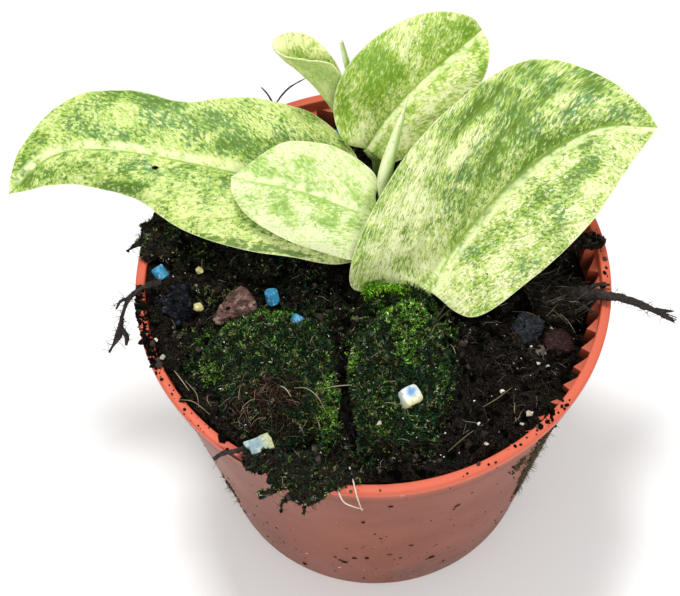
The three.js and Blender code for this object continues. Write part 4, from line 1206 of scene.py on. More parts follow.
ROOTS = {
    "root_right": {
        "path": [
            (47, -4.5, 89.5), (50, -5.5, 91.5), (53.5, -8, 95), (57, -10, 97.3), (62, -11.5, 97.6),
            (68, -13.3, 95.8), (74.3, -15.5, 92.6),
        ],
        "radii": (1.7, 1.7, 1.45, 1.1, 0.9, 0.75, 0.4),
        "forks": [
            ([(69, -13.5, 95.4), (72.5, -13.6, 94.4), (74.4, -13.2, 93.6)], (0.6, 0.45, 0.2)),
            ([(53, -7.2, 94), (55.5, -6.3, 96.4), (59, -6.5, 96.6)], (0.8, 0.5, 0.25)),
            ([(49, -7, 91), (52, -10, 93), (55.5, -13, 92.5)], (0.9, 0.6, 0.3)),
        ],
        "hairs": 240, "frays": 7,
    },
    "root_left": {
        "path": [
            (-53.5, 1, 95.5), (-58, -1.4, 96.7), (-61.6, -2.6, 94), (-64, -4, 88), (-65.6, -6.2, 82.5),
            (-68.6, -8.8, 78),
        ],
        "radii": (0.8, 0.7, 0.65, 0.5, 0.9, 0.25),
        "forks": [
            ([(-64.8, -5.4, 85), (-63.4, -7.5, 83.5), (-63.8, -8.5, 81)], (0.7, 0.7, 0.4)),
            ([(-61.6, -2.6, 94), (-64, -2.2, 92), (-65.4, -2.8, 89.5)], (0.5, 0.45, 0.25)),
        ],
        "hairs": 130,
    },
    "twig_front_left": {
        "path": [(-40, -50, 96.7), (-37.6, -48.9, 97.6), (-35, -48.6, 97.5), (-32.5, -47.5, 97)],
        "radii": (0.5, 0.6, 0.55),
        "forks": [([(-36.5, -48.8, 97.4), (-34.5, -50.4, 97.2), (-32.6, -51.4, 96.6)], (0.4, 0.35, 0.3))],
        "hairs": 8,
    },
    "root_back": {
        "path": [(-26, 46, 86), (-25, 49.5, 93), (-23.6, 54, 96.6), (-20, 59, 97.6), (-14, 62, 99)],
        "radii": (0.45, 0.34, 0.26, 0.2, 0.12),
        "forks": [([(-23.6, 54, 96.6), (-25.5, 57, 98.5), (-27, 58.5, 99.5)], (0.3, 0.25, 0.12))],
        "hairs": 0,
    },
}
for name, form in ROOTS.items():
    parts = [strand(form["path"], form["radii"], steps=80, knobs=0.3)]
    parts += [strand(path, radii, sides=8, steps=20, knobs=0.2) for path, radii in form["forks"]]
    for _ in range(form.get("frays", 0)):
        path = np.array(form["path"]) + rng.normal(size=(len(form["path"]), 3)) * 0.42
        parts.append(strand(path, (0.32, 0.28, 0.26, 0.2, 0.12), sides=6, steps=50, knobs=0.2))
    points, faces = joined(parts)
    if form["hairs"]:
        places, facings = scattered(points, faces, form["hairs"])
        parts.append(bristles(places, facings, 2.0, 0.07))
    points, faces = joined(parts)
    fit(make(name + "_strand", points, faces, dry_root, crease=80), "root", name)

ROOTLETS = [
    [(-8, -53, 95.2), (-7.3, -57, 96.2), (-6.7, -60.3, 95.7), (-6.2, -61, 93), (-5.5, -61.2, 88.5)],
    [(-11.2, -57.5, 95.6), (-10.6, -59.9, 95), (-9.6, -60.8, 92.6), (-7.4, -61, 90.4), (-5.2, -60.8, 88.3)],
]
parts = [strand(path, (0.2, 0.19, 0.18, 0.15, 0.1), knobs=0.1) for path in ROOTLETS]
points, faces = joined(parts)
fit(make("rootlet_strands", points, faces, pale_root, crease=80), "pale_root", "rootlet_front")

# Straws that catch the eye: a path of places with a height over the ground, a thickness and a colour
STRAWS = [
    ([(19.5, -9, 2.6), (17.2, -11.5, 2.2), (13.5, -17, 0.8)], 0.5, "#2e2a18"),
    ([(18.4, -12.6, 1), (14.6, -16.5, 1.5), (13.6, -19, 0.7)], 0.3, "#6e6848"),
    ([(-23.7, -33, 0.8), (-22.4, -34.4, 1.2), (-21.2, -36, 0.6)], 0.24, "#b4aa94"),
    ([(-20.4, -33.6, 0.5), (-17.5, -34, 1.3), (-15, -36.2, 1.4), (-13.2, -38.8, 0.8)], 0.2, "#9c8c70"),
    ([(-13.4, -33.2, 0.6), (-10, -31.8, 2.8), (-6.3, -31, 0.8)], 0.22, "#a3a084"),
    ([(-15.2, -40.8, 0.7), (-14.8, -42.2, 1), (-14.4, -43.6, 0.5)], 0.22, "#8f8a70"),
    ([(-49.8, -24.6, 0.8), (-48.2, -27.8, 1.3), (-46, -31, 0.7)], 0.24, "#a89c82"),
    ([(-47, -28, 0.6), (-44, -33, 1.4), (-43.6, -36, 0.6)], 0.2, "#87775a"),
    ([(-49, -33, 0.4), (-45, -34.4, 1), (-41, -37.4, 0.5)], 0.18, "#8c7d64"),
    ([(40.6, -3.4, 1.6), (42, -1.6, 2.6), (43.4, 0.6, 2.2)], 0.26, "#e4ddca"),
    ([(15.6, -49, 0.6), (20, -45.6, 1.3), (24.8, -41.2, 0.6)], 0.24, "#665a46"),
    ([(25, -37, 0.5), (28.6, -34.8, 1.1), (32.4, -32, 0.5)], 0.22, "#776a50"),
    ([(32.9, -35.7, 0.6), (32.5, -38.3, 1), (32.8, -41, 0.4)], 0.2, "#8a7d62"),
    ([(18.4, -19.2, 0.8), (19, -20.8, 1.1), (19.4, -22.2, 0.6)], 0.2, "#98896a"),
    ([(17.9, -8.8, 4.2), (16, -12.2, 3.4), (14, -15.8, 2.2)], 0.5, "#2e251d"),
    ([(35, -8, 0.8), (39, -9.6, 2), (44, -11, 0.7)], 0.2, "#6e624a"),
    ([(44, -8, 3), (48, -11.5, 3.2), (50.5, -14, 2)], 0.24, "#7d775a"),
    ([(41.5, -5, 4), (45, -9.4, 4.2), (48.6, -12.4, 2.6)], 0.22, "#66613f"),
]
parts, stains = [], []
for path, radius, code in STRAWS:
    path = np.array(path, float)
    path[:, 2] += ground(path[:, 0], path[:, 1])
    radius *= 0.5
    parts.append(strand(path, (0.6 * radius, radius, radius, 0.5 * radius), sides=6, steps=14, knobs=0.12))
    stains.append(np.repeat([tint(code)], len(parts[-1][0]), axis=0))
points, faces = joined(parts)
fit(make("loose_straws", points, faces, straw, stain=np.concatenate(stains)), "fibre")


# Watering and handling left dirt on the outside of the pot: flat spots of dried mix and moss, a few
# pale lime spots, and grit near the foot and below the rim. They stick to the wall.
SPATTER = [
    (-88.3, 78.9, 0.7), (-95.5, 65.2, 0.8), (-92.4, 54, 0.6), (-102.7, 22.8, 1.1), (-104, 24, 0.8),
    (-95.1, 29.5, 0.9),
    (-84.4, 27.7, 0.6), (-73.5, 21, 0.9), (-75, 20, 0.6), (-81.5, 39.4, 0.7), (-69.9, 66.2, 0.7),
    (-70.6, 64, 0.5),
]  # angle from +X, height and size
MOSSY_SPATTER = [
    (-43.5, 68, 3.4, 7, 170), (-42.5, 53, 2.8, 9, 190), (-41, 37, 2, 8, 110), (-47, 84, 4.5, 6, 110),
    (-51, 72, 4, 7, 60),
    (-145.5, 35, 2.6, 6, 60),
]
LIME_SPATTER = [
    (-116.2, 20.2, 0.55), (-104.9, 15.4, 0.45), (-124.3, 36, 0.4), (-140.6, 20.5, 0.4),
    (-85.9, 90.2, 0.5), (-102.8, 62.5, 0.35),
]


def on_wall(angles, heights):
    """Places on the outside of the pot's wall or collar, and the way that it faces."""
    angles = np.radians(angles)
    levels = [0, STEP_LEVEL - 0.2, STEP_LEVEL + 0.8, POT_HEIGHT - RIM_DEPTH]
    radius = np.interp(heights, levels, [FOOT_RADIUS, STEP_RADIUS, COLLAR_FOOT_RADIUS, COLLAR_RADIUS])
    return around(radius, angles, heights), around(1, angles, -0.15)


def spatter(name, spots, codes, slot, flat_share=0.4):
    """Flat irregular spots on the wall."""
    spots = np.array(spots, float)
    places, facings = on_wall(spots[:, 0], spots[:, 1])
    shape = ball(1)
    scales = spots[:, 2:] * rng.uniform(0.6, 1.3, (len(spots), 3)) * (1, 1, flat_share)
    points, faces = strewn(shape, places, scales, aimed(facings))
    centres = np.repeat(places, len(shape[0]), axis=0)
    points = centres + (points - centres) * rng.uniform(0.7, 1.3, (len(points), 1))
    stains = np.repeat(stained(codes, len(spots)), len(shape[0]), axis=0)
    fit(make(name, points, faces, crumb, crease=40, stain=stains), slot)


GRIT_COUNT = 420
RIM_GRIT_COUNT = 90
LIME_COUNT = 60
angles, heights = rng.uniform(-180, 180, GRIT_COUNT), 6 + 78 * rng.beta(0.8, 1.6, GRIT_COUNT)
grit = np.stack([angles, heights, 0.22 * np.exp(rng.normal(size=GRIT_COUNT) * 0.5)], 1)
angles, heights = rng.uniform(-180, 180, RIM_GRIT_COUNT), rng.uniform(85.5, 91.5, RIM_GRIT_COUNT)
below_rim = np.stack([angles, heights, 0.2 * np.exp(rng.normal(size=RIM_GRIT_COUNT) * 0.4)], 1)
grit_codes = ["#2c2018", "#3a2a20", "#4a382c", "#241a14"]
spatter("wall_grit", np.concatenate([SPATTER, grit, below_rim]), grit_codes, "potting_mix")
mossy = []
for angle, height, wide, tall, count in MOSSY_SPATTER:
    sideways = rng.normal(size=count) * wide * 0.45
    upward = rng.normal(size=count) * tall * 0.45
    mossy.append(np.stack([angle + sideways, height + upward, rng.uniform(0.2, 0.6, count)], 1))
mossy = np.concatenate(mossy)
mossy = mossy[mossy[:, 1] < 91]
spatter("wall_moss", mossy, ["#3a3226", "#4a4032", "#2b2a1a", "#5a543e", "#33301f"], "potting_mix", 0.8)
places, facings = on_wall(mossy[:, 0], mossy[:, 1])
points, faces = bristles(places, facings, 1.3, 0.06)
stains = stained(["#4a4032", "#6a6048", "#33301f"], len(places))
stains = np.repeat(stains, len(points) // len(places), axis=0)
fit(make("wall_moss_fibres", points, faces, straw, stain=stains), "fibre")
angles, heights = rng.uniform(-180, 180, LIME_COUNT), rng.uniform(10, 90, LIME_COUNT)
lime = np.stack([angles, heights, rng.uniform(0.12, 0.25, LIME_COUNT)], 1)
lime = np.concatenate([LIME_SPATTER, lime])
spatter("wall_lime", lime, ["#d8cfc6", "#c9b8ac", "#e6e2dc"], "pale_stone", 0.3)


# Two short stems climb out of the mix. Each is a green shoot with swollen nodes,
# thin rings of old leaf scars and a few brown aerial roots that hold on to the mix.
stem_green = Finish("green stem", "#7f9a4a", roughness=0.45, specular=0.45)
stem_green.mottle("#b5c27a", 2.5, 0.45, 0.65, 0.8, stretch=(1, 1, 0.3))
stem_green.mottle("#4d6a2a", 0.8, 0.6, 0.72, 0.6, detail=4)
stem_green.paint(stem_green.value("scar"), "#6b5a36")
stem_green.grain(stem_green.noise(0.5, stretch=(1, 1, 0.3)), 0.08)

STEM_RADII = (2.6, 2.6, 2.34, 1.95)
STEMS = {
    "stem_front": [(4.5, -1, 76), (4, 2, 92), (3.2, 6, 100), (2.2, 9.5, 106)],
    "stem_back": [(5, 26, 74), (4.5, 28.5, 90), (3.5, 31, 99), (2.5, 33.5, 105)],
}
STEM_STEPS, STEM_SIDES = 90, 32
STEM_NODES = 5
AERIAL_ROOTS = 5
for name, path in STEMS.items():
    shares = np.linspace(0, 1, STEM_STEPS + 1)
    line = smooth_path(path, shares)
    nodes = np.exp(-(((shares * STEM_NODES) % 1 - 0.5) / 0.12) ** 2)
    radii = np.interp(shares, np.linspace(0, 1, 4), STEM_RADII) * (0.9 + 0.13 * nodes)
    radii *= np.clip((1.004 - shares) / 0.05, 0, 1) ** 0.5
    points, faces = tubes(line[None], radii[None], STEM_SIDES, (0, 1, 0.2))
    middle = np.repeat(line, STEM_SIDES, axis=0)
    points = middle + (points - middle) * (1 + 0.05 * rough(points, 2.2))[:, None]
    scar = np.repeat(np.exp(-(((shares * STEM_NODES) % 1 - 0.62) / 0.035) ** 2), STEM_SIDES)
    fit(make(name + "_shoot", points, faces, stem_green, crease=70, scar=0.8 * scar), "stem", name)
    parts = []
    for k in range(AERIAL_ROOTS):
        start = smooth_path(path, [0.5 + 0.06 * k])[0]
        angle = 2.4 * k + 0.6
        way = np.array([math.cos(angle), math.sin(angle), 0])
        foot = start + way * (7 + k)
        foot[2] = ground(foot[:1], foot[1:2])[0] - 0.6
        knee = start + way * 4 + (0, 0, -0.8)
        root_path = [start + way * 1.2, knee, foot]
        parts.append(strand(root_path, (0.75, 0.55, 0.3), sides=8, steps=20, knobs=0.2))
    points, faces = joined(parts)
    fit(make(name + "_roots", points, faces, dry_root, crease=80), "root")


# Five leaves, thin, smooth and slightly leathery, each on a short stalk from a stem. The blades are
# marbled: cream and lime ground, green streaks along the side veins, dark and blue-green speckles,
# and here and there a solid green patch. The right one is folded along the veins of its left half.
def blade_place(form, along, across):
    """Places on a blade: along from its stalk (0) to its tip (1), and across from its left margin
    (-1) to its right one (1). Also the way along the midrib, and from it to the margin."""
    rib = smooth_path(form["midrib"], along)
    ahead, behind = np.minimum(along + 0.002, 1), np.maximum(along - 0.002, 0)
    way = smooth_path(form["midrib"], ahead) - smooth_path(form["midrib"], behind)
    way = unit(way)
    left = across[:, None] < 0
    side = np.where(left, smooth_path(form["left"], along), smooth_path(form["right"], along)) - rib
    up = np.cross(side, way) * np.where(left, -1, 1)
    up = unit(up)
    out = abs(across)[:, None]
    rise = form["arch"] * np.sin(np.pi * out) * np.sin(np.pi * along[:, None])
    return rib + side * out + up * rise, way, side


def near_segment(points, start, end):
    way = end - start
    share = np.clip((points - start) @ way / max(way @ way, 1e-6), 0, 1)
    return np.linalg.norm(points - start - share[:, None] * way, axis=1)


def facings_of(points, faces):
    """The way that a skin of four-sided faces looks at each of its points."""
    a, b, c, d = points[faces].transpose(1, 0, 2)
    normals = np.cross(c - a, d - b)
    total = np.zeros_like(points)
    for k in range(4):
        np.add.at(total, faces[:, k], normals)
    return unit(total)


def leaf(name, node, form, finish, slot, rows, half):
    """A blade as one closed skin with a grooved midrib, and its stalk."""
    t = np.arange(rows + 1) / rows
    along = t - 0.13 * np.sin(2 * np.pi * t)
    spread = np.linspace(0, 1, half + 1) ** 1.12
    across = np.concatenate([-spread[:0:-1], spread])
    a, b = [grid.ravel() for grid in np.meshgrid(along, across, indexing="ij")]
    points, way, side = blade_place(form, a, b)
    forward = (side * way).sum(1)
    length = np.linalg.norm(np.diff(smooth_path(form["midrib"], along), axis=0), axis=1).sum()
    count = len(points)
    x = a * length + abs(b) * forward
    y = abs(b) * np.linalg.norm(side - forward[:, None] * way, axis=1)
    lean = np.where(b < 0, form["lean"][0], form["lean"][1])
    curl = np.where(b < 0, form["curl"][0], form["curl"][1])
    order = (x - lean * y - curl * y * y) / np.sqrt(1 + lean**2)
    veins = np.stack([(y + lean * x) / np.sqrt(1 + lean**2), order, np.where(b < 0, 3, 0)], 1)

    columns = len(across)
    corner = (np.arange(rows)[:, None] * columns + np.arange(columns - 1)).ravel()
    faces = np.stack([corner, corner + 1, corner + columns + 1, corner + columns], 1)
    up = facings_of(points, faces)
    signed = y * np.sign(b)
    ends = np.clip(np.sin(np.pi * a) * 2.2, 0, 1)
    pleat, pitch = form["pleats"]
    relief = pleat * np.sin(2 * np.pi * order / pitch + 0.6 * rough(points, 14)) * np.clip(y / 6, 0, 1)
    relief += 0.07 * np.sin(2 * np.pi * order / 2.9) * np.clip(y / 2, 0, 1)
    relief += 0.3 * rough(points, 7) * b**4 - 0.35 * np.exp(-(((signed + 0.3) / 0.9) ** 2))
    relief *= ends
    valley = np.zeros(count)
    for path, depth, wide in form["folds"]:
        line = blade_place(form, *np.array(path).T)[0]
        away = np.min([near_segment(points, *ends) for ends in zip(line, line[1:])], axis=0)
        fold = depth * np.exp(-((away / wide) ** 2))
        relief += fold
        valley = np.maximum(valley, -fold)
    points = points + up * relief[:, None]
    up = facings_of(points, faces)
    thick = 0.5 - 0.2 * abs(b) ** 8
    ridge = 0.9 * np.exp(-((y / 0.75) ** 2)) * (1 - a) ** 0.6
    skin = np.concatenate([points + up * thick[:, None] / 2, points - up * (thick / 2 + ridge)[:, None]])
    lap = np.concatenate([np.arange(rows) * columns, rows * columns + np.arange(columns - 1)])
    back = np.arange(rows, 0, -1) * columns + columns - 1
    lap = np.concatenate([lap, back, np.arange(columns - 1, 0, -1)])
    rim_faces = np.stack([lap, np.roll(lap, -1), np.roll(lap, -1) + count, lap + count], 1)
    skin_faces = np.concatenate([faces, faces[:, ::-1] + count, rim_faces])

    marks = {kind: np.zeros(count) for kind in ("deep", "grass", "olive", "pale")}
    for kind, start, end, wide, strength in form["marks"]:
        ends_of_mark = blade_place(form, np.array([start[0], end[0]]), np.array([start[1], end[1]]))[0]
        away = near_segment(points, *ends_of_mark) / wide
        marks[kind] = np.maximum(marks[kind], strength * np.clip(1.7 - away, 0, 1))
    values = {kind: np.tile(value, 2) for kind, value in marks.items()}
    # Painted shade and colour: fold valleys are painted olive, partly the blade's own darker veins and
    # partly painted shade.
    values["olive"] = np.maximum(values["olive"], np.tile(np.clip(0.7 * valley, 0, 0.6), 2))
    values["fold"] = np.tile(np.clip(valley, 0, 1), 2)
    values["across"] = np.tile(signed, 2)
    values["rim"] = np.tile((1 - abs(b)) * np.linalg.norm(side, axis=1), 2)
    values["under"] = np.repeat([0, 1], count)
    values["veins"] = np.tile(veins, (2, 1))
    piece = make(name, skin, skin_faces, finish, crease=80, **values)
    shape = bmesh.new()
    shape.from_mesh(piece.data)
    bmesh.ops.remove_doubles(shape, verts=shape.verts, dist=1e-6)
    bmesh.ops.recalc_face_normals(shape, faces=shape.faces)
    shape.to_mesh(piece.data)
    shape.free()
    fit(piece, slot, node)
    points, faces = strand(form["stalk"], (1.3, 1.25, 1.2, 1.0), sides=16, steps=24, knobs=0.04)
    fit(make(name + "_stalk", points, faces, stem_green, crease=70, scar=np.zeros(len(points))), "stem")


def marbled(name, cream, lime, green, deep, dark, cover):
    """Marbled leaf skin. Cover is how much more green there is than on the palest leaf."""
    skin = Finish(name, cream, roughness=0.5, specular=0.3)
    veins = skin.add("ShaderNodeAttribute", attribute_name="veins").outputs["Vector"]
    deep_value, grass, olive, pale = [skin.value(kind) for kind in ("deep", "grass", "olive", "pale")]
    dense = skin.plus(skin.math("MULTIPLY", skin.noise(6, detail=2, shift=5), 0.3), grass, 0.075)
    dense = skin.math("ADD", skin.plus(dense, pale, -0.045), cover)
    # Each coat is a scatter of spots: size, stretch, where they gather and how much, bounds, and strength
    for shift, (size, stretch, gather, share, low, high, top, coat) in enumerate((
        (1.5, 0.55, grass, 0.02, 0.59, 0.71, 0.85, lime),
        (0.95, 0.6, grass, 0.02, 0.655, 0.725, 0.75, green),
        (0.62, 0.55, deep_value, 0.02, 0.63, 0.7, 0.6, green),
        (0.95, 0.62, deep_value, 0.105, 0.735, 0.79, 0.8, deep),
        (1.2, 0.42, olive, 0.17, 0.79, 0.87, 0.85, dark),
        (0.65, 0.6, deep_value, 0.03, 0.69, 0.74, 0.8, dark),
    )):
        spots = skin.noise(size, detail=4, place=veins, stretch=(stretch, 1, 1), shift=7 * shift, rough=0.6)
        spots = skin.plus(skin.math("ADD", spots, dense), gather, share)
        skin.paint(skin.step(spots, low, high, top=top), coat)
    fleck = skin.noise(0.85, detail=3, place=veins, stretch=(0.6, 1, 1), shift=57)
    skin.paint(skin.step(fleck, 0.56, 0.66, top=0.55), cream)
    # Painted shade and colour: fold valleys turn greener.
    skin.paint(skin.math("MULTIPLY", skin.value("fold"), 0.25), green)
    # Side veins show as fine green lines
    order = skin.add("ShaderNodeSeparateXYZ", {"Vector": veins}).outputs["Y"]
    line = skin.math("SINE", skin.plus(skin.math("MULTIPLY", order, 1.05), skin.noise(9), 1.5))
    line = skin.step(line, 0.965, 1, top=0.5)
    line = skin.math("MULTIPLY", line, skin.step(skin.noise(2.2, shift=3), 0.35, 0.6))
    skin.paint(line, green)
    # A smooth pale band follows the midrib, and a thin dark line of painted shade runs along its groove
    signed = skin.value("across")
    band = skin.math("MULTIPLY", skin.step(signed, -0.3, 0.2), skin.step(signed, 2.6, 1.3))
    skin.paint(skin.math("MULTIPLY", band, skin.step(skin.noise(2.5), 0.3, 0.6, top=0.8)), "#e9f5bb")
    line = skin.math("ABSOLUTE", skin.math("ADD", signed, 0.35))
    line = skin.step(line, 0.45, 0.1, top=0.9)
    skin.paint(skin.math("MULTIPLY", line, skin.step(skin.noise(1.6), 0.35, 0.6)), green)
    skin.paint(skin.step(skin.value("rim"), 0.35, 0.1, top=0.4), "#e6ecbc")
    skin.paint(skin.math("MULTIPLY", skin.value("under"), 0.5), "#b9cf7a")
    wave = skin.math("SINE", skin.plus(skin.math("MULTIPLY", order, 7.5), skin.noise(3), 2))
    skin.grain(skin.plus(skin.noise(0.6, detail=3), wave, 0.15), 0.06)
    skin.shader.inputs["Subsurface Weight"].default_value = 0.5
    skin.shader.inputs["Subsurface Radius"].default_value = (1.4, 2.0, 0.8)
    skin.shader.inputs["Subsurface Scale"].default_value = 0.6 * MM
    return skin


marbled_leaf = marbled("marbled leaf", "#d3dd94", "#c6d47c", "#8aad40", "#467c4c", "#527414", 0)
folded_leaf = marbled("folded marbled leaf", "#e0e5b0", "#cad682", "#91b03e", "#478050", "#577616", 0.01)
pale_leaf = marbled("pale leaf", "#dae2b0", "#c8d88a", "#9ec05a", "#94b664", "#82a446", -0.02)
young_leaf = marbled("young leaf", "#e6e6b2", "#dadda0", "#b2c466", "#94b45e", "#769c36", -0.03)
green_leaf = marbled("green leaf", "#e3e8b0", "#ccda7a", "#95b236", "#88a63e", "#6e961e", 0.01)

